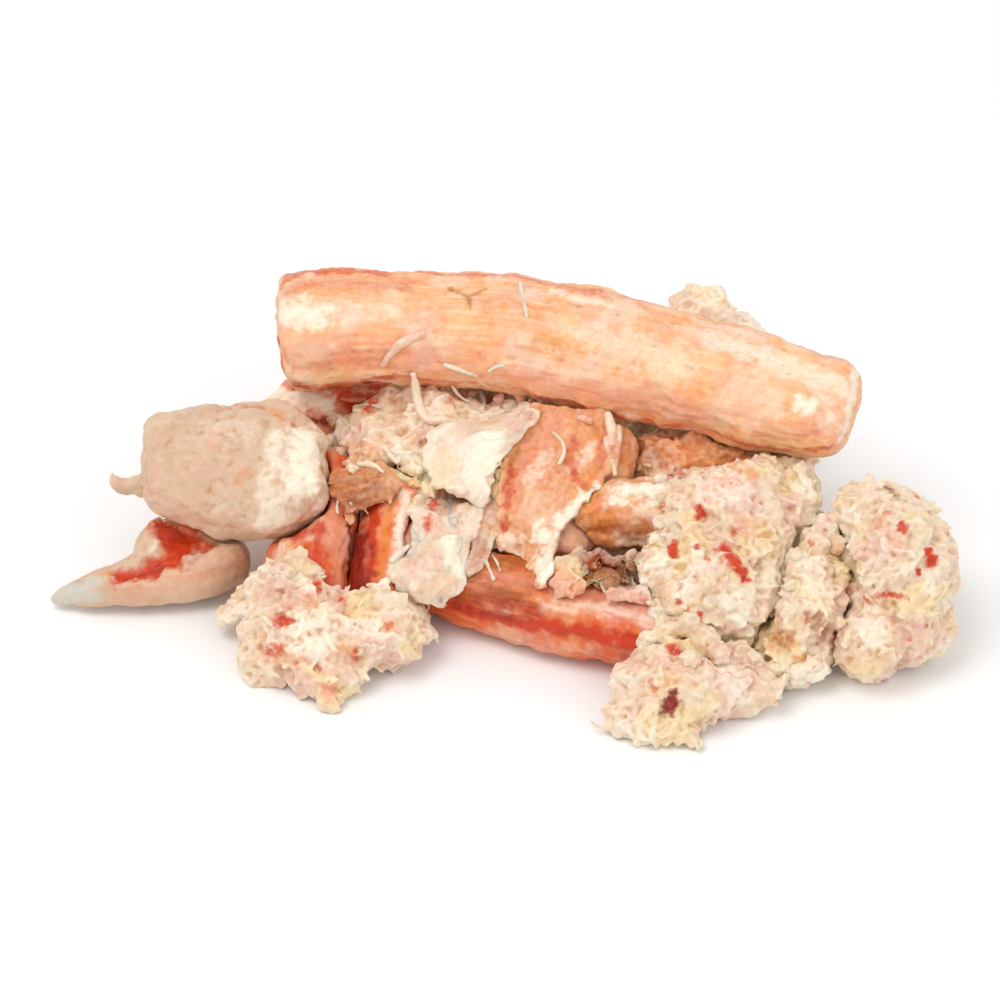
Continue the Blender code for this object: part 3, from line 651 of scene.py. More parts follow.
# Where each effect begins, and where it is full.
DRIFT_SPAN, ZONE_SPAN, TINT_SPAN, SPECK_RISE = (0.38, 0.62), (0.5, 0.62), (0.7, 1.0), 0.05
CELL_SPAN, FLECKED_SPAN, GAP_SPAN, LINE_SPAN = (0.55, 0.15), (0.42, 0.6), (0.62, 0.9), (0.45, 0.7)
MASK_START, MASK_SPAN, MASK_MOTTLE = (0.0, 0.3), (0.05, 1.0), 0.9
RIDGE_HIGHLIGHT_SPAN, CREASE_SHADE_SPAN, HOLLOW_SHADE_SPAN = (0.02, 0.2), (-0.02, -0.22), (-0.2, -1.4)
# How strongly each effect shows.
SLOW_SHARE, QUICK_SHARE, LINE_SHARE = 0.65, 0.35, 0.4
TINT_SHARE, SPECK_SHARE, FLECK_SHARE, GAP_SHARE, RIDGE_HIGHLIGHT_SHARE = 0.35, 0.7, 0.55, 0.45, 0.34
MOTTLE_LEAST, MOTTLE_RANGE, MOTTLE_LINED, MOTTLE_LINES = 0.55, 0.9, 0.6, 0.54
CREASE_SHADE_SHARE, HOLLOW_SHADE_SHARE = 0.8, 0.7
PORE_HEIGHT, DIMPLE_HEIGHT, BUMP_STRENGTH, BUMP_HEIGHT = 0.5, 0.6, 0.5, 0.3 * MM
LEAST_ROUGH, ROUGH_RANGE, SHINE = 0.28, 0.32, 0.4
SOFTNESS, LIGHT_REACH = 0.5, (1.0, 0.5, 0.28)


def flesh(name, body, second, crevice, specks, streaks, flecks, patches, depth):
    """A flesh material. Its body drifts to a second colour, and the numbers weigh its other effects."""
    made = bpy.data.materials.new(name)
    made.use_nodes = True
    tree = Tree(made.node_tree.nodes, made.node_tree.links)
    shader = tree.nodes["Principled BSDF"]
    place = tree.add("ShaderNodeTexCoord", {}, {}, out=3)
    grain = tree.add("ShaderNodeAttribute", {"attribute_name": "grain"}, {}, out=1)

    def attribute(label):
        return tree.add("ShaderNodeAttribute", {"attribute_name": label}, {}, out=2)

    near, wide, tint = attribute("near"), attribute("wide"), attribute("tint")
    slow, quick = noise_of(tree, place, *SLOW), noise_of(tree, place, *QUICK)
    lines = noise_of(tree, grain, *LINES)
    drift = slow * (SLOW_SHARE - streaks * LINE_SHARE) + quick * QUICK_SHARE + lines * (streaks * LINE_SHARE)
    shade = tree.mix(drift.steps(*DRIFT_SPAN), body, second)
    for zone, (over, strength) in enumerate(ZONES):
        spread = noise_of(tree, place, ZONE_SCALE, 3.0, ZONE_SHIFT + zone).steps(*ZONE_SPAN)
        shade = tree.mix(spread * (strength * patches), shade, over)
    shade = tree.mix(tint.steps(*TINT_SPAN) * TINT_SHARE, shade, FLUSH)
    speck = noise_of(tree, place, *SPECKLED).steps(specks, specks + SPECK_RISE)
    shade = tree.mix(speck * SPECK_SHARE, shade, SPECK)
    cells = tree.add("ShaderNodeTexVoronoi", {}, {"Vector": grain, "Scale": CELL_SCALE, "Randomness": 1.0})
    fleck = cells.steps(*CELL_SPAN) * noise_of(tree, place, *FLECKED).steps(*FLECKED_SPAN) * flecks
    shade = tree.mix(fleck * FLECK_SHARE, shade, MASKS["pale"])
    gap = cells.steps(*GAP_SPAN) * lines.steps(*LINE_SPAN) * (GAP_SHARE * streaks)
    shade = tree.mix(gap, shade, crevice)
    # Painted highlight: ridges of the relief are lightened towards pale, as where light catches them.
    shade = tree.mix(near.steps(*RIDGE_HIGHLIGHT_SPAN) * (RIDGE_HIGHLIGHT_SHARE * patches), shade, MASKS["pale"])
    mottle = MOTTLE_RANGE * noise_of(tree, place, *MOTTLED) * (1.0 - MOTTLE_LINED * streaks)
    mottle = MOTTLE_LEAST + mottle + (MOTTLE_LINES * streaks) * lines
    for label, over in MASKS.items():
        mask = attribute(label)
        cover = mask + (mottle - 1.0) * MASK_MOTTLE * mask.steps(*MASK_START)
        shade = tree.mix(cover.steps(*MASK_SPAN), shade, over)
    # Painted shade: creases and wider hollows of the relief are darkened by a warm multiply.
    for amount in (near.steps(*CREASE_SHADE_SPAN) * CREASE_SHADE_SHARE, wide.steps(*HOLLOW_SHADE_SPAN) * HOLLOW_SHADE_SHARE):
        shade = tree.mix(amount, shade, PAINTED_CREVICE_SHADE, "MULTIPLY")
    tree.links.new(shade.socket, shader.inputs["Base Color"])
    tree.links.new((LEAST_ROUGH + ROUGH_RANGE * quick).socket, shader.inputs["Roughness"])
    fine = noise_of(tree, place, *PORES) * PORE_HEIGHT + noise_of(tree, place, *DIMPLES) * DIMPLE_HEIGHT
    bump = tree.add("ShaderNodeBump", {}, {
        "Height": fine + lines * streaks, "Strength": BUMP_STRENGTH, "Distance": BUMP_HEIGHT})
    tree.links.new(bump.socket, shader.inputs["Normal"])
    constants = {"Subsurface Weight": SOFTNESS, "Subsurface Radius": LIGHT_REACH, "Subsurface Scale": depth,
                 "Specular IOR Level": SHINE}
    for socket, setting in constants.items():
        shader.inputs[socket].default_value = setting
    return made


# %% [markdown]
# ## Six kinds of flesh
# The pieces differ by how much skin and fat is on them: flaked meat is cream and patchy, torn meat is
# orange, sheets are white, the smooth chunk is beige, and legs are peach or red. One formula with six sets
# of values keeps them one animal. Specks say above which height of a noise they show, and depth is how far
# light goes in.

# %% The finish of each slot
FINISHES = {
    "flaked_meat": {
        "body": colour(236, 218, 192), "second": colour(230, 200, 168), "crevice": colour(216, 164, 112),
        "specks": 0.70, "streaks": 0.0, "flecks": 0.0, "patches": 1.0, "depth": 1.6 * MM},
    "torn_meat": {
        "body": colour(234, 176, 132), "second": colour(223, 140, 82), "crevice": colour(190, 98, 52),
        "specks": 0.72, "streaks": 0.6, "flecks": 0.0, "patches": 0.25, "depth": 1.5 * MM},
    "white_sheet": {
        "body": colour(243, 229, 211), "second": colour(237, 213, 190), "crevice": colour(226, 186, 152),
        "specks": 0.85, "streaks": 0.7, "flecks": 0.2, "patches": 0.5, "depth": 2.2 * MM},
    "smooth_meat": {
        "body": colour(217, 187, 158), "second": colour(209, 172, 142), "crevice": colour(196, 130, 96),
        "specks": 0.80, "streaks": 0.3, "flecks": 0.0, "patches": 0.15, "depth": 1.8 * MM},
    "leg_skin": {
        "body": colour(249, 190, 140), "second": colour(245, 166, 114), "crevice": colour(226, 120, 70),
        "specks": 0.82, "streaks": 0.8, "flecks": 0.5, "patches": 0.5, "depth": 1.4 * MM},
    "red_skin": {
        "body": colour(228, 112, 50), "second": colour(214, 84, 26), "crevice": colour(150, 40, 16),
        "specks": 0.82, "streaks": 1.0, "flecks": 0.0, "patches": 0.3, "depth": 1.0 * MM},
}
PAINTS = {name: flesh(name, **finish) for name, finish in FINISHES.items()}
print("made the finishes", list(PAINTS))

# %% [markdown]
# ## The flaked clumps
# A clump of picked meat is hundreds of small flakes that stick together. Relief alone would look like stone,
# because flakes overhang and cast small shadows, so real fibres are laid on it. Each clump is its solid,
# drawn in a little so that the fibres bring it back to size. A voxel remesh melts fibres and skin together.

# %% Carving, finishing and pressing in


def carve(piece, slot, seed, lumps=0.0, streaks=0.0, crumbs=0.0):
    """Gives a piece relief, with its lumps, streaks and crumbs this many millimetres high."""
    grow(piece, relief_group, Lumps=lumps * MM, Streaks=streaks * MM, Crumbs=crumbs * MM, Seed=seed,
         Material=PAINTS[slot])


def finish(piece, slot, *nodes):
    """Makes a piece part of the heap, in the place of these solids. It ends at the floor."""
    points = points_of(piece)
    points[:, 2] = np.maximum(points[:, 2], 0.0)
    move_points(piece, points)
    piece.data.shade_smooth()
    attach(piece, "root")
    if nodes:
        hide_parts(*nodes)
    print(piece.name, "has", len(piece.data.vertices), "vertices")
    return piece


def sink(piece, mask, depth):
    """Presses a painted mask into a piece by up to this many millimetres, as where flesh was torn out."""
    values = np.empty(len(piece.data.vertices))
    piece.data.attributes[mask].data.foreach_get("value", values)
    move_points(piece, points_of(piece) - normals_of(piece) * (values * depth * MM)[:, None])


# %% Growing the clumps
FUSE_STEP = 0.42 * MM
FUSE_SMOOTHING, FLAKE_CRUMBS, FLAKE_SEED_STEP = 2, 0.3, 1.7
FIBRE_TURN, FIBRE_WOBBLE, FIBRE_LIFT = 9.0 * MM, 0.9 * MM, 0.45
CLUMP_STEP, CLUMP_SMOOTHING, CLUMP_LUMPS, CLUMP_SEED_STEP = 0.9 * MM, 2, 3.2, 3.1
CLUMPS = ("clump_core", "clump_front", "clump_upper", "clump_foot", "clump_low", "clump_end", "clump_under",
          "clump_back", "shreds_low")
BROWN_FLAKE = {"seed": 21, "slot": "torn_meat", "draw_in": 0.3}


def flake_over(piece, slot, seed, draw_in, spacing=1.3, length=4.6, thickness=1.2):
    """Turns a piece into flakes: draws it in, lays fibres on it, melts them together and adds crumbs."""
    move_points(piece, points_of(piece) - normals_of(piece) * draw_in * MM)
    grow(piece, fibres_group, Spacing=spacing * MM, Length=length * MM, Thickness=thickness * MM,
         Grain_Size=FIBRE_TURN, Lift=FIBRE_LIFT, Wobble=FIBRE_WOBBLE, Seed=seed, Material=PAINTS[slot])
    loose = add_piece("loose", piece.data.copy())
    even_skin(piece, FUSE_STEP, FUSE_SMOOTHING)
    carve(piece, slot, seed * FLAKE_SEED_STEP, crumbs=FLAKE_CRUMBS)
    grow(piece, read_group, Source=loose, Material=PAINTS[slot])
    bpy.data.objects.remove(loose)


def clump(node, seed, slot="flaked_meat", draw_in=0.5):
    """A flaked clump in the place of a solid."""
    piece = copy_of(node, node + "_flakes", CLUMP_STEP, CLUMP_SMOOTHING)
    carve(piece, slot, seed * CLUMP_SEED_STEP, lumps=CLUMP_LUMPS)
    flake_over(piece, slot, seed, draw_in)
    return finish(piece, slot, node)


clumps = {node: clump(node, seed) for seed, node in enumerate(CLUMPS, 1)}
clumps["flake_brown"] = clump("flake_brown", **BROWN_FLAKE)

# %% [markdown]
# ## Colour on the clumps
# Bits of red skin cling to the flakes. They are small, and some are dark. A few zones are pinker or whiter
# than the rest. Crevices look warm yellow because the flesh finish paints shade into them, and some brown,
# dark and amber marks paint shade in seams, in a hole and under the top leg.

# %% Painting the clumps on the right
RIGHT_CLUMP_MARKS = {
    # Painted shade: the brown mark along the seam with clump_low.
    "clump_end": """
        red 0.9 5 902,525 904,530 | 1 6 929,552 930,562 | 0.9 4 918,573 | 0.8 3.5 878,596 890,594 901,596
        red 0.7 3.5 864,598 870,603 | 0.8 3 926,626 | 0.7 3 910,640
        dark 0.7 4.5 886,487 896,495 | 0.5 3.5 906,501
        rose 0.45 14 880,525 900,545 | 0.4 10 850,585 880,600 | 0.3 10 930,560
        brown 0.5 8 834,522 836,560 838,600
        amber 0.5 5 849,659 | 0.3 14 880,650
        pale 0.7 14 861,580 866,600 | 0.7 14 866,631 880,640 | 0.5 10 870,490
    """,
    "clump_upper": """
        red 0.9 5.5 699,508 701,515 | 1 6 673,545 674,553 | 1 6.5 723,549 735,563 744,578 | 0.7 4 697,546
        red 0.7 4 733,534 | 0.7 4 681,585 | 0.9 4 679,602 | 0.8 4 700,614 698,625
        dark 0.5 4 759,560 756,568 | 0.45 5 786,561 | 0.6 3 744,578
        rose 0.5 16 705,483 730,490 | 0.4 16 747,527 740,500 | 0.35 16 665,600 662,624 | 0.4 9 725,560
        amber 0.5 12 735,465 750,475 | 0.35 8 690,500 | 0.35 8 716,585
        pale 0.7 16 655,520 660,560 | 0.8 15 730,600 745,620 | 0.6 9 690,480 740,500
    """,
    "clump_foot": """
        red 0.6 5 700,662 | 0.75 8 672,646 676,652
        dark 1 9 672,700 668,708 | 0.8 5 662,713 | 0.4 4 688,655
        rose 0.4 20 650,660 680,665 | 0.5 12 674,650
        amber 0.35 12 690,685 640,690
        pale 0.3 16 640,715 700,680
    """,
    # Painted shade: the dark mark in the hole near the foot and the brown marks on the right, along the seam.
    "clump_low": """
        red 0.5 4 812,545
        dark 1 8 838,640 836,648 | 0.5 4 750,652 | 0.45 4 779,615 | 0.6 2.5 817,644
        rose 0.35 16 770,590 790,620 | 0.3 12 770,650
        amber 0.4 12 775,636 785,640 | 0.6 8 798,658 813,663
        brown 0.6 9 775,634 788,640 | 0.6 11 814,618 822,632 | 0.4 6 830,560 834,600
        pale 0.6 12 800,530 815,560
    """,
    # Painted shade: clump_under lies in shade under the top leg, and its brown and amber marks paint that.
    "clump_under": """
        brown 0.5 20 630,440 650,455 640,475
        amber 0.6 30 640,445 700,450 760,470 | 0.6 16 785,480 790,500
        rose 0.5 14 690,470 745,460
        pale 0.6 8 757,455 765,480
    """,
    "clump_back": """
        pale 0.5 20 705,300 725,310
        amber 0.2 10 690,300
    """,
}
for node, marks in RIGHT_CLUMP_MARKS.items():
    paint(clumps[node], marks)
print("painted", list(RIGHT_CLUMP_MARKS))

# %% Painting the clumps in front and in the middle
FRONT_CLUMP_MARKS = {
    "clump_front": """
        red 0.8 5 341,600 | 0.8 6 316,583 318,590 | 0.9 7 278,620 288,622 | 0.7 7 268,650 280,648
        red 0.7 5 355,652 357,660 | 0.5 5 389,625
        dark 0.5 4 283,614 | 0.35 3 312,676
        rose 0.7 12 329,691 | 0.55 10 276,655 297,661 | 0.5 12 290,610 310,600 | 0.4 8 389,620
        amber 0.6 8 389,627 | 0.5 8 340,648 352,650 | 0.4 10 262,640 258,660
        pale 0.8 13 295,560 300,580 | 0.7 10 304,610 300,625 | 0.6 14 290,640 320,645
    """,
    # Painted shade: the dark mark along the top of the core, under the top leg.
    "clump_core": """
        red 0.8 10 345,400 370,404 | 0.6 7 390,480 410,484 | 0.45 6 338,445
        dark 0.5 8 335,440 336,455 | 0.5 6 460,395 500,405
        rose 0.6 12 450,400 462,396 | 0.5 14 385,400 350,395 | 0.5 14 400,480 430,485
        rose 0.4 12 490,395 520,402 | 0.8 16 518,438 508,480
        amber 0.4 16 350,455 375,450 | 0.4 10 410,440 | 0.4 14 512,470
        pale 0.6 8 380,405 395,412 | 0.5 8 410,425 400,440 | 0.5 10 425,405 440,415
    """,
    # Painted shade: the broad brown mark, for this flake lies in shade.
    "flake_brown": """
        brown 0.55 26 340,488 375,492
        pale 0.4 6 330,480 360,478
    """,
}
for node, marks in FRONT_CLUMP_MARKS.items():
    paint(clumps[node], marks)
print("painted", list(FRONT_CLUMP_MARKS))

# %% [markdown]
# ## The hole in the shreds
# The torn shreds over the low leg have a dark brown hollow. Its brown and dark marks paint both the brown
# flesh there and the shade in it. Paint alone would look like a stain, so the brown mask is also pressed
# in, and the hollow gets real shadow too.

# %% A painted hollow
SHREDS_RAGGED, HOLLOW_DEPTH = 0.3, 3.2
SHREDS_MARKS = """
    brown 0.9 18 600,570 622,570
    dark 0.5 20 590,555 612,556 634,558
    red 0.5 14 600,560 645,566 | 0.6 6 645,600
    rose 0.6 18 552,580 575,588 592,592 | 0.55 14 610,594 632,597
"""
paint(clumps["shreds_low"], SHREDS_MARKS, SHREDS_RAGGED)
sink(clumps["shreds_low"], "brown", HOLLOW_DEPTH)
print("the hollow is", HOLLOW_DEPTH, "mm deep")

# %% [markdown]
# ## Legs, chunks and sheets
# These pieces came out whole, so they are smoother. They could be sculpted, but the solids already have their
# shape. Each copy is rounded until its facets are gone, gets a fine skin, and is streaked along its grain.

# %% Smoothing and streaking the pieces that aren't flaked
FLESH_SMOOTHING, FLESH_SEED_STEP = 8, 2.3
SMOOTH_PIECES = {
    "leg_top": {"slot": "leg_skin", "seed": 1, "step": 0.5, "lumps": 1.2, "streaks": 0.5},
    "leg_back": {"slot": "red_skin", "seed": 2, "lumps": 1.8, "streaks": 0.8},
    "leg_left": {"slot": "red_skin", "seed": 3, "lumps": 1.2, "streaks": 0.6},
    "leg_middle": {"slot": "red_skin", "seed": 4, "lumps": 1.2, "streaks": 0.6},
    "leg_low": {"slot": "red_skin", "seed": 5, "lumps": 1.2, "streaks": 0.7},
    "chunk_left": {"slot": "smooth_meat", "seed": 6, "across": 1.6, "along": 7.0, "streaks": 0.2,
                   "lumps": 1.6, "crumbs": 0.06},
    "claw_left": {"slot": "smooth_meat", "seed": 7, "streaks": 0.4},
    "slab_middle": {"slot": "torn_meat", "seed": 8, "direction": (0.35, 0.2, -1), "across": 1.1,
                    "along": 8.0, "streaks": 0.9, "crumbs": 0.35},
    "lump_cream": {"slot": "torn_meat", "seed": 9, "direction": (1, 0.3, 0.4), "streaks": 0.7, "crumbs": 0.5,
                   "lumps": 2.0},
    "flake_fan": {"slot": "white_sheet", "seed": 12, "direction": (-0.6, -0.2, -1), "step": 0.45,
                  "streaks": 0.8, "lumps": 1.5, "crumbs": 0.3},
}


def whole(node, slot, seed, direction=None, across=0.8, along=9.0, step=0.6,
          lumps=0.8, streaks=0.3, crumbs=0.12):
    """A smooth piece in the place of a solid. Its sizes are in millimetres."""
    piece = copy_of(node, node + "_flesh", step * MM, FLESH_SMOOTHING)
    lay_grain(piece, direction, across * MM, along * MM)
    carve(piece, slot, seed * FLESH_SEED_STEP, lumps, streaks, crumbs)
    grow(piece, read_group, Material=PAINTS[slot])
    return finish(piece, slot, node)


smooth = {node: whole(node, **choices) for node, choices in SMOOTH_PIECES.items()}

# %% [markdown]
# ## Colour on the legs
# The outer side of a leg is red where the skin stayed on, and pale where it was peeled away. The long leg
# on top has a cream patch at its left end, red rims, and a yellow zone near its crack, and its brown marks
# are the crack itself. The dark marks in the gap between the left and middle legs are painted shade. At the
# left end of the low leg, the dark and brown marks paint dark red skin and the deep shade over it.

# %% Painting the legs
LEG_MARKS = {
    "leg_top": """
        red 0.6 12 285,278 310,271 345,270 385,274 | 0.35 14 292,287 350,284 400,286
        red 0.75 7 279,340 282,368 300,386 345,384 390,377
        red 0.55 6 390,377 450,382 513,396 576,403 616,416 675,426 | 0.6 6 675,426 735,440 774,449 830,447
        red 0.5 6 420,272 500,275 600,292 700,312 | 0.4 5 700,312 770,335 830,358 | 0.3 8 818,430 800,438
        rose 0.5 26 300,360 390,355 470,365 | 0.5 18 470,372 560,385 640,400 700,415
        rose 0.6 9 560,290 640,300 700,316 | 0.35 14 320,280 400,285 | 0.4 12 760,430 820,430
        amber 0.35 20 485,310 515,312 545,325 | 0.45 18 540,345 575,355 | 0.2 18 700,400 780,425
        amber 0.25 10 430,285 400,282 | 0.4 9 640,415 720,432
        pale 0.75 18 286,313 320,315 | 0.4 17 320,308 390,312 | 0.25 14 290,350 330,352
        pale 0.45 24 590,335 640,350 680,360 | 0.6 18 715,340 780,362 840,385 | 0.9 9 800,402 808,406
        pale 0.7 8 856,374 850,402 840,438 | 0.6 7 830,418 | 0.6 5 553,290 580,300 612,306
        pale 0.4 10 700,322 760,340
        brown 0.6 3.4 450,289 460,293 468,297 470,306 | 0.55 3 468,297 484,290
    """,
    "leg_back": """
        pale 0.9 12 272,394 295,399 330,402
        rose 0.5 18 275,395 330,402
        red 0.9 12 348,402 378,405
        dark 0.8 6 262,406 288,418 330,422
    """,
    # Painted shade: the dark mark on the right edge, in the gap next to the middle leg.
    "leg_left": """
        red 0.8 12 310,520 315,560 322,585 | 0.7 10 300,535 320,530
        amber 0.5 12 290,545 300,570 | 0.3 9 335,510 336,580
        rose 0.7 9 336,505 338,588
        pale 0.6 6 305,528 310,535 | 0.5 12 284,548 278,575
        dark 0.9 5 348,500 348,590 | 0.4 6 300,505 330,500
    """,
    # Painted shade: the broad dark mark on the left edge, in the gap next to the left leg.
    "leg_middle": """
        red 0.9 9 376,500 371,540 368,590
        amber 0.6 10 390,510 385,545 380,580
        rose 0.6 8 402,500 394,545 388,585
        pale 0.75 7 406,495 400,530 394,575 | 0.4 8 420,500 416,560
        dark 1 16 361,490 358,540 356,595
    """,
    # The brown and dark marks at the left end paint dark red skin and the deep shade over it.
    "leg_low": """
        red 0.9 9 445,603 500,618 560,628 | 1 10 560,628 610,638 650,648 | 0.4 8 480,600 560,618
        amber 0.5 9 500,592 545,602 590,612
        rose 0.6 16 470,578 540,588 600,602 | 0.5 9 600,640 650,655
        pale 0.5 10 545,606 580,606 620,612 650,622 | 0.4 6 520,640 600,660
        brown 0.7 18 470,574 490,562 515,560 | 0.5 12 560,590 600,588 | 0.6 14 462,596 490,588 520,596
        dark 0.5 14 460,600 490,600 530,610 | 0.5 8 470,609 510,620 | 0.25 12 505,575 535,578
    """,
}
for node, marks in LEG_MARKS.items():
    paint(smooth[node], marks)
print("painted", list(LEG_MARKS))

# %% [markdown]
# ## Colour on the chunk and the claw
# The chunk is beige with a white right side. The claw is pink, with a grey, half clear tip, and its red top
# is where the shell was torn off with some flesh, so that mask is pressed in as well.

# %% Painting the chunk and the claw
TORN_DEPTH = 1.6
CHUNK_AND_CLAW_MARKS = {
    "chunk_left": """
        red 0.4 5 193,407 234,405 262,409 | 0.5 3.5 317,502 296,522 275,541
        rose 0.35 9 215,432 214,446 | 0.35 14 150,480 160,510 200,535 260,530 | 0.25 20 170,500 230,515
        amber 0.4 7 246,470 237,482 | 0.25 12 260,490 256,504 | 0.35 6 318,463 322,470
        amber 0.55 7 273,410 287,424 326,431 | 0.15 14 180,470 200,460
        dark 0.35 4 217,405 228,405 | 0.3 3 243,474 236,483
        pale 0.9 26 303,446 300,484 | 0.6 14 272,440 268,505 | 0.6 18 285,505 268,525
        pale 0.35 22 215,425 250,432 | 0.3 22 225,505 250,515
    """,
    # Painted shade: the brown marks along the claw's right rim.
    "claw_left": """
        red 1 17 163,524 183,541 174,554 | 1 12 174,556 150,567 122,573 | 0.8 11 183,543 205,543
        dark 0.5 4 160,565 125,575 | 0.4 4 178,550 196,553
        rose 0.35 22 225,560 190,585 130,590 | 0.6 10 190,530 205,538
        amber 0.5 7 90,575 110,572 | 0.3 10 170,570 210,580 | 0.5 5 172,537 165,550
        brown 0.35 10 240,552 238,574 215,598 | 0.2 24 225,570
        clear 0.65 17 53,596 84,588
        pale 0.6 4 160,532 152,552
    """,
}
for node, marks in CHUNK_AND_CLAW_MARKS.items():
    paint(smooth[node], marks)
sink(smooth["claw_left"], "red", TORN_DEPTH)
print("the torn top of the claw is", TORN_DEPTH, "mm deep")

# %% [markdown]
# ## Colour on the slab, the lump and the fan
# These were torn from where leg and body meet, so skin, fat and muscle change quickly on them. The marks on
# the slab and the lump have more ragged edges than those on the legs.

# %% Painting the slab, the lump and the fan
SLAB_RAGGED = {"slab_middle": 0.9, "lump_cream": 1.1, "flake_fan": RAGGED}
SLAB_MARKS = {
    "slab_middle": """
        red 0.6 6 610,430 603,462 588,500 | 0.5 6 574,436 570,462 562,480 | 0.5 5 526,468 518,500
        amber 0.5 12 592,440 586,470 572,500 | 0.3 8 548,445 540,470 | 0.3 10 520,505 540,510
        rose 0.6 12 536,450 524,490 | 0.5 9 612,415 614,470 | 0.4 8 556,455 545,490
        pale 0.5 6 550,436 543,462 530,492 | 0.5 7 560,480 550,505 | 0.95 16 528,560 536,572 548,560
    """,
    "lump_cream": """
        red 0.5 4 614,482 660,474
        amber 0.6 24 588,512 606,530 | 0.4 9 630,540 660,545
        brown 0.4 12 584,522 600,528
        rose 0.6 16 595,500 610,520
        pale 0.9 17 622,490 650,486 685,494 | 0.5 10 640,515 670,520 | 0.6 8 590,540 620,540 650,542
        dark 0.35 9 600,530 618,524
    """,
    "flake_fan": """
        rose 0.9 30 430,520 460,540
        red 0.8 8 428,510 436,530
        amber 0.3 18 480,520 490,550 | 0.25 20 440,510
    """,
}
for node, marks in SLAB_MARKS.items():
    paint(smooth[node], marks, SLAB_RAGGED[node])
print("painted", list(SLAB_MARKS))

# %% [markdown]
# ## Sheets, strands and crumbs that were pulled loose
# Picking leaves thin sheets of membrane, single white strands and crumbs in the seams. They are placed by
# the pixels where the photo shows them: a line of sight finds the depth of the heap there, and a lift
# brings them nearer.

# %% Depth of the heap at a pixel
surfaces = {piece.name: surface_of(piece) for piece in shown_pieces()}


def depth_at(x, y, skipped=None):
    """How far from the camera the heap is at a pixel, or None. The skipped piece is looked through."""
    hits = [tree.ray_cast(eye, sight(x, y))[3] for name, tree in surfaces.items() if name != skipped]
    return min((hit for hit in hits if hit), default=None)


def places(pixels, lift):
    """Points over the heap at these pixels, with smoothed depths, nearer by a lift in millimetres."""
    depths = [depth_at(x, y) for x, y in pixels]
    known = [(i, depth) for i, depth in enumerate(depths) if depth]
    depths = np.interp(range(len(pixels)), *zip(*known))
    if len(depths) > 2:
        depths[1:-1] = (depths[:-2] + 2 * depths[1:-1] + depths[2:]) / 4
    return [eye + sight(x, y) * (depth - lift * MM) for (x, y), depth in zip(pixels, depths)]


print("a line of sight can meet", len(surfaces), "pieces")

# %% [markdown]
# ## Strands
# A strand is a few muscle fibres that stuck together, about a millimetre thick. Each could be a thin
# sculpted body, but a curve with a round profile along its pixels is quicker. All strands of one colour are
# remeshed as one piece, so that they get the same soft, slightly lumpy skin as the rest.

# %% Curves through the pixels of strands
STRAND_STEP, STRAND_SMOOTHING = 0.22 * MM, 2
STRAND_RELIEF = {"seed": 5.5, "lumps": 0.5, "streaks": 0.1, "crumbs": 0.12}
END_SHARE = 0.6


def strands(name, slot, text):
    """One piece of loose strands. Each line is a strand's half width in pixels, its lift and its pixels."""
    curve = bpy.data.curves.new(name, "CURVE")
    curve.dimensions, curve.bevel_depth, curve.bevel_resolution = "3D", 1.0, 2
    curve.use_fill_caps = True
    for (width, lift), pixels in map(numbers_and_pixels, text.strip().splitlines()):
        spline = curve.splines.new("NURBS")
        points = places(pixels, lift)
        spline.points.add(len(points) - 1)
        for i, (point, place) in enumerate(zip(spline.points, points)):
            point.co = (*place, 1.0)
            point.radius = width * PIXEL * (END_SHARE if i in (0, len(points) - 1) else 1.0)
        spline.order_u, spline.use_endpoint_u = 3, True
    drawn = bpy.data.objects.new(name, curve)
    mesh = bpy.data.meshes.new_from_object(drawn)
    bpy.data.objects.remove(drawn)
    bpy.data.curves.remove(curve)
    piece = add_piece(name, mesh)
    even_skin(piece, STRAND_STEP, STRAND_SMOOTHING)
    lay_grain(piece)
    carve(piece, slot, **STRAND_RELIEF)
    grow(piece, read_group, Material=PAINTS[slot])
    return finish(piece, slot)


# %% The strands
WHITE_STRANDS = """
    5 1 413,373 416,390 419,408 428,421 444,420 458,424
    3.5 0.8 384,446 390,456 398,463
    3.5 0.6 350,466 362,463 376,466 384,473
    3.5 0.8 394,443 401,452 399,462
    3 0.4 520,283 523,300 527,317
    3.5 0.6 542,404 539,412 537,419
    3.5 0.6 554,408 557,416 561,423
    2.5 2.6 553,432 562,440 566,452 559,464
    3 0.5 452,385 458,398 470,402
    2.5 0.5 480,392 486,402 484,412
    3 0.5 338,416 345,419 349,427
    2.5 0.5 360,405 372,403 380,408
    2 0.3 432,588 440,595 446,606
    2 0.3 425,590 430,600 428,610
    3 0.4 484,558 489,568 494,580
    2 0.4 492,555 498,562 500,572
    6.5 2.6 607,413 613,428 612,446
    5.5 2.4 618,426 619,446 613,470
    5 2.6 606,436 608,454 616,476
    5.5 3.6 563,419 577,416 592,421
    5 0.4 382,366 390,352 406,340 425,333
    3.5 0.3 443,364 460,370 478,376
    2.5 0.3 488,372 496,364 506,366
    4.5 0.6 412,545 400,552 390,562
    2.5 0.6 338,500 336,508 338,514
    2.5 0.6 350,502 354,508 358,512
"""
RED_SHREDS = """
    7 -1 174,524 186,530 204,538
    4 0.3 340,398 352,402 366,400
"""
CURL_RIM = """
    9 1.6 533,402 528,415 518,429 505,438 488,440 468,436
"""
WHITE_STRAND_MARKS = """
    rose 0.7 16 611,412 613,450 611,474 | 0.7 12 563,419 592,421 | 0.5 12 382,366 390,352 425,333
    rose 0.6 12 443,364 478,376 506,366
"""
white = strands("white_strands", "white_sheet", WHITE_STRANDS)
paint(white, WHITE_STRAND_MARKS)
strands("red_shreds", "red_skin", RED_SHREDS)
rim = strands("curl_rim", "white_sheet", CURL_RIM)

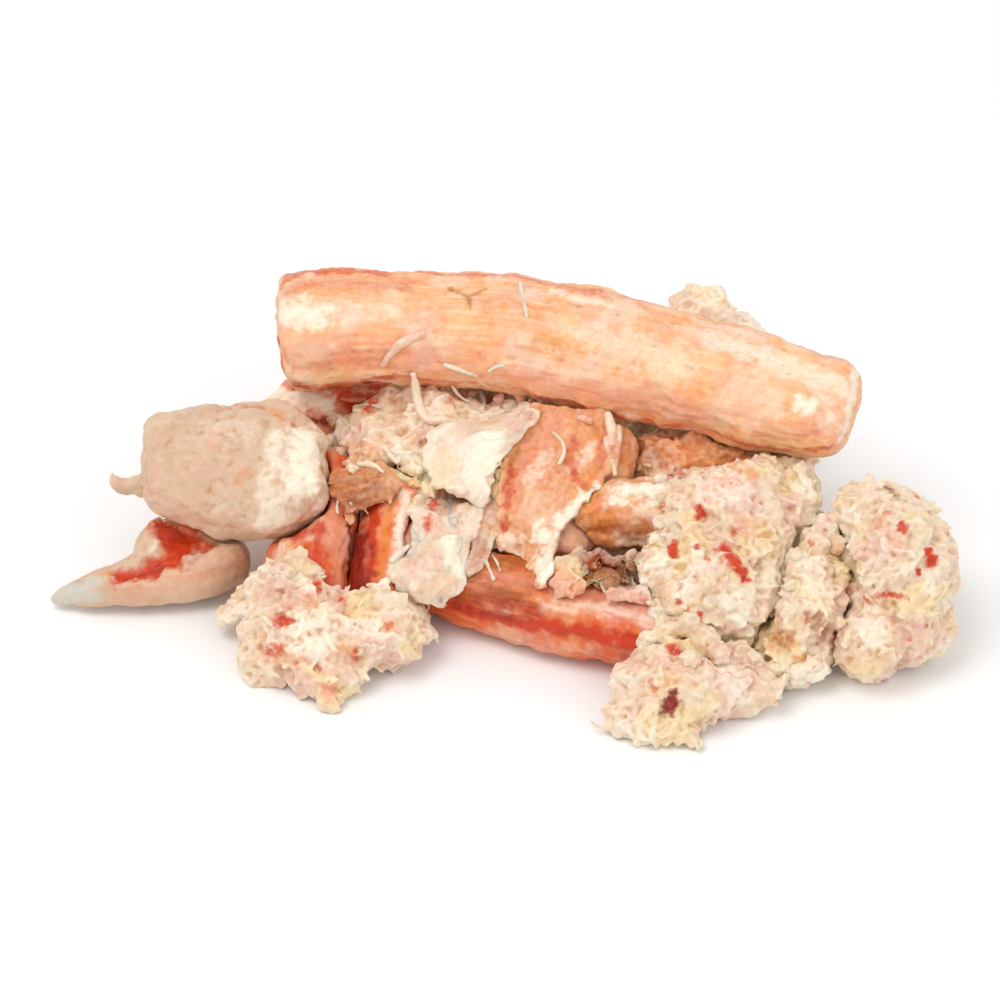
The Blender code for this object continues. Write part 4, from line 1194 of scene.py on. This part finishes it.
# %% [markdown]
# ## Sheets
# Membrane and torn skin lie on the heap like wet paper, 1 to 3 mm thick. Cloth simulation could drape them,
# but they only need to follow what is under them. A sheet is a grid between two edges that are given as
# pixels. It either bulges freely between them, or takes the depths of the heap, which are smoothed like a
# taut skin over its ridges.

# %% Grids that bulge or drape
ACROSS, ALONG = 18, 50
SMOOTHINGS = 40


def smooth_path(points, count):
    """This many places along a path that passes smoothly through its points."""
    points = np.array(points)
    ends = np.vstack([2 * points[0] - points[1], points, 2 * points[-1] - points[-2]])
    path = []
    for step in np.linspace(0, len(points) - 1, count):
        i = min(int(step), len(points) - 2)
        s = step - i
        a, b, c, d = ends[i:i + 4]
        path.append(b + 0.5 * s * (c - a + s * (2 * a - 5 * b + 4 * c - d + s * (3 * (b - c) + d - a))))
    return np.array(path)


def edges_in(text):
    """The pixels of a grid's two edges. Bars part the rows of the text, which give a pixel on each edge."""
    rows = [numbers_and_pixels(row)[1] for row in text.split("|")]
    return [[row[side] for row in rows] for side in (0, 1)]


def spanned(starts, stops):
    """A grid whose rows run straight from starts to stops, and each column's share of the way across."""
    share = np.linspace(0, 1, ACROSS)[None, :, None]
    return starts[:, None] * (1 - share) + stops[:, None] * share, share


def bulging(text, lift, bulge):
    """A grid of places between two edges, with a lift and a bulge towards the camera in millimetres."""
    grid, share = spanned(*[smooth_path(places(pixels, lift), ALONG) for pixels in edges_in(text)])
    return grid - np.array(ahead) * np.sin(math.pi * share) * bulge * MM


def draped(text, lift, skipped):
    """A grid of places that lie on the heap as a wet sheet does. The skipped piece is looked through."""
    pixels, _ = spanned(*[smooth_path(pixels, ALONG) for pixels in edges_in(text)])
    ground = np.array([[depth_at(x, y, skipped) or np.nan for x, y in row] for row in pixels])
    ground[np.isnan(ground)] = np.nanmax(ground)
    depths = ground
    for _ in range(SMOOTHINGS):
        wide = np.pad(depths, 1, mode="edge")
        around = (wide[:-2, 1:-1] + wide[2:, 1:-1] + wide[1:-1, :-2] + wide[1:-1, 2:]) / 4
        depths = np.minimum(around, ground)
    sights = np.array([[sight(x, y) for x, y in row] for row in pixels])
    return np.array(eye) + sights * (depths - lift * MM)[:, :, None]


# %% From a grid to a thin torn piece
SIDE_POWER, END_POWER = 6, 12
TEAR_SIZE, TEAR_LEAST = 1.6 * MM, 0.4
SHEET_STEP, SHEET_SMOOTHING = 0.35 * MM, 5
SHEET_ACROSS, SHEET_ALONG = 1.0 * MM, 10.0 * MM
SHEET_STREAKS, SHEET_CRUMBS = 0.5, 0.3


def torn_edges(grid, seed, ragged):
    """A grid with its sides and its far end moved outwards unevenly, by about this many millimetres."""
    sides, end = np.abs(np.linspace(-1, 1, ACROSS)), np.linspace(0, 1, ALONG)
    edge = np.maximum(sides[None] ** SIDE_POWER, end[:, None] ** END_POWER)
    shift = Vector((seed, 0, 0))
    torn = np.array([[noise.noise(Vector(place) / TEAR_SIZE + shift) + TEAR_LEAST for place in row]
                     for row in grid])
    outward = grid - grid[0].mean(axis=0)
    outward /= np.linalg.norm(outward, axis=2, keepdims=True) + 1e-9
    return grid + outward * (torn * edge * ragged * MM)[:, :, None]


def sheet(name, slot, seed, grid, *nodes, thickness=1.1, ragged=1.6, lumps=0.8):
    """A thin torn piece over a grid of places. Its thickness, torn edges and lumps are in millimetres."""
    corners = [(i * ACROSS + j, i * ACROSS + j + 1, (i + 1) * ACROSS + j + 1, (i + 1) * ACROSS + j)
               for i in range(ALONG - 1) for j in range(ACROSS - 1)]
    mesh = bpy.data.meshes.new(name)
    mesh.from_pydata(torn_edges(grid, seed, ragged).reshape(-1, 3).tolist(), [], corners)
    piece = add_piece(name, mesh)
    thick = piece.modifiers.new("thick", "SOLIDIFY")
    thick.thickness, thick.offset = thickness * MM, 0.0
    even_skin(piece, SHEET_STEP, SHEET_SMOOTHING)
    lay_grain(piece, grid[-1].sum(axis=0) - grid[0].sum(axis=0), SHEET_ACROSS, SHEET_ALONG)
    carve(piece, slot, seed, lumps, SHEET_STREAKS, SHEET_CRUMBS)
    grow(piece, read_group, Material=PAINTS[slot])
    return finish(piece, slot, *nodes)


# %% The curled sheet with its rim, and the pearly lobe
CURL_EDGES = """
    527,405 540,414 | 515,414 526,431 | 500,421 513,447 | 485,424 502,458 | 467,424 495,470 |
    449,425 492,480 | 436,432 491,490 | 430,448 489,498 | 432,468 484,502 | 438,484 476,499
"""
# Painted shade: the rose and brown marks at the band's far end and the clear mark under the band.
CURL_MARKS = """
    rose 0.5 12 536,404 524,420 512,440
    brown 0.45 7 536,402 530,414
    clear 0.35 9 522,424 506,444
    pale 0.9 16 490,440 478,480
    amber 0.3 10 440,445 442,470
"""
LOBE_EDGES = """
    440,537 463,535 | 418,545 466,550 | 405,556 468,562 | 396,570 468,574 | 394,582 464,584 |
    402,592 455,592 | 415,600 440,602
"""
# Painted shade: the faint brown mark on the lobe.
LOBE_MARKS = """
    pale 0.8 9 450,542 456,568
    amber 0.16 40 420,560 440,590
    rose 0.3 30 412,560 425,580 438,596
    brown 0.2 8 434,548 440,580
"""
curl = sheet("curled_sheet", "white_sheet", 3.3, bulging(CURL_EDGES, lift=1.5, bulge=3.2), "flake_white",
             thickness=2.6, ragged=2.4)
lobe = sheet("pearl_lobe", "white_sheet", 4.4, bulging(LOBE_EDGES, lift=0.8, bulge=2.5), lumps=1.8)
for part in (curl, rim):
    paint(part, CURL_MARKS)
paint(lobe, LOBE_MARKS)

# %% The veil and the fold over the fan
VEIL_EDGES = """
    464,496 504,492 | 468,512 502,512 | 472,530 497,532 | 471,546 492,548 | 466,558 484,562 |
    462,568 476,574
"""
# Painted shade: the amber and brown marks, tan shade near the top and brown shade at the lower end.
VEIL_MARKS = """
    amber 0.4 14 484,505 488,530
    rose 0.4 14 476,530 470,560
    brown 0.3 10 482,502 492,525 | 0.45 16 480,552 474,572
"""
FOLD_EDGES = """
    428,472 488,482 | 420,490 484,502 | 414,508 478,520 | 411,524 474,536 | 412,540 470,550 |
    416,554 462,562
"""
# Painted shade: the brown mark in the hollow at the top of the fold.
FOLD_MARKS = """
    rose 0.45 26 440,495 440,530 | 0.4 12 466,545 455,555
    red 0.8 5 438,484 433,506 426,528
    amber 0.3 24 462,505 460,530
    brown 0.55 10 432,486 452,494 474,502
    pale 0.4 8 452,520 450,540
"""
veil = sheet("fan_veil", "white_sheet", 5.5, draped(VEIL_EDGES, lift=0.6, skipped="flake_white"))
fold = sheet("fan_fold", "white_sheet", 7.7, draped(FOLD_EDGES, lift=1.4, skipped="flake_white"),
             lumps=2.0, ragged=2.2)
paint(veil, VEIL_MARKS)
paint(fold, FOLD_MARKS)

# %% The torn skin of the slab, with its white tongue
FACE_RAGGED = 0.9
FACE_EDGES = """
    533,403 604,411 | 519,432 612,432 | 509,456 612,452 | 504,478 604,474 | 500,500 592,494 |
    499,518 578,508 | 498,534 564,522 | 500,546 558,534 | 516,552 556,547 | 525,560 554,559 |
    532,569 551,570 | 539,580 547,579
"""
FACE_MARKS = """
    pale 0.9 9 592,492 576,507 562,522 | 0.95 16 546,536 542,574 | 0.6 11 506,542 522,548
    pale 0.5 9 545,456 530,482 | 0.5 7 592,444 588,462 | 0.35 18 540,500 532,528
    rose 0.6 9 534,440 522,475 516,505 | 0.5 9 560,415 548,450 538,482 | 0.5 8 606,440 598,480
    red 0.7 6 513,470 507,500 505,530 | 0.6 6 574,440 571,468 584,488 | 0.5 6 608,430 602,462
    red 0.5 3 556,468 558,472
    amber 0.5 10 578,498 590,470 594,440 | 0.4 12 548,500 532,525 | 0.5 8 562,440 566,460
    brown 0.55 10 530,420 517,442 508,464
"""
face = sheet("slab_face", "torn_meat", 6.6, draped(FACE_EDGES, lift=1.1, skipped="leg_top_flesh"),
             thickness=1.5, ragged=2.0, lumps=1.6)
paint(face, FACE_MARKS, FACE_RAGGED)

# %% [markdown]
# ## Crumbs in the seams
# Where clumps meet, picked meat leaves crumbs, which hide the straight seams between solids. They are small
# balls along the seams' pixels, sunk in by a part of their radius, and then flaked like the clumps.

# %% Crumbs along the seams
CRUMB_STEP, CRUMB_SMOOTHING, BURIED = 0.7 * MM, 1, 0.25
CRUMB_FLAKES = {"draw_in": 0.2, "spacing": 1.0, "length": 3.2, "thickness": 0.8}
SEAM_CRUMBS = """
    15 662,612 668,632 690,622 705,642
    11 648,640 655,655 720,655 690,660
    9 836,520 838,545 840,570 840,600 838,622
    9 755,660 775,668 795,672 812,664
    8 800,470 806,485 812,500
    8 335,420 332,440 340,455 352,470
    7 470,395 500,400 520,395 560,412 585,420
    8 400,478 415,484 430,490
    12 284,574 298,568 312,574
    8 290,560 302,556
    9 505,452 500,472 497,492
    9 796,556 792,585 790,612
    8 660,480 664,500 660,522 656,540
"""
# Painted shade: the wide amber mark along the seam between the clumps on the right.
SEAM_MARKS = """
    rose 0.6 14 470,395 500,400 520,395 560,412 585,420 | 0.35 14 505,452 497,492
    rose 0.4 12 335,420 340,455
    amber 0.5 8 415,484 | 0.3 12 836,520 840,600
"""


def crumbs(name, slot, seed, text):
    """Small flaked lumps. Each line is a radius in pixels, then the pixels that get a lump of it."""
    blobs = bmesh.new()
    for (radius,), pixels in map(numbers_and_pixels, text.strip().splitlines()):
        for place in places(pixels, -BURIED * radius * PIXEL / MM):
            ball = bmesh.ops.create_icosphere(blobs, subdivisions=2, radius=radius * PIXEL)["verts"]
            bmesh.ops.translate(blobs, verts=ball, vec=place)
    mesh = bpy.data.meshes.new(name)
    blobs.to_mesh(mesh)
    blobs.free()
    piece = add_piece(name, mesh)
    even_skin(piece, CRUMB_STEP, CRUMB_SMOOTHING)
    flake_over(piece, slot, seed, **CRUMB_FLAKES)
    return finish(piece, slot)


paint(crumbs("seam_crumbs", "flaked_meat", 31, SEAM_CRUMBS), SEAM_MARKS)
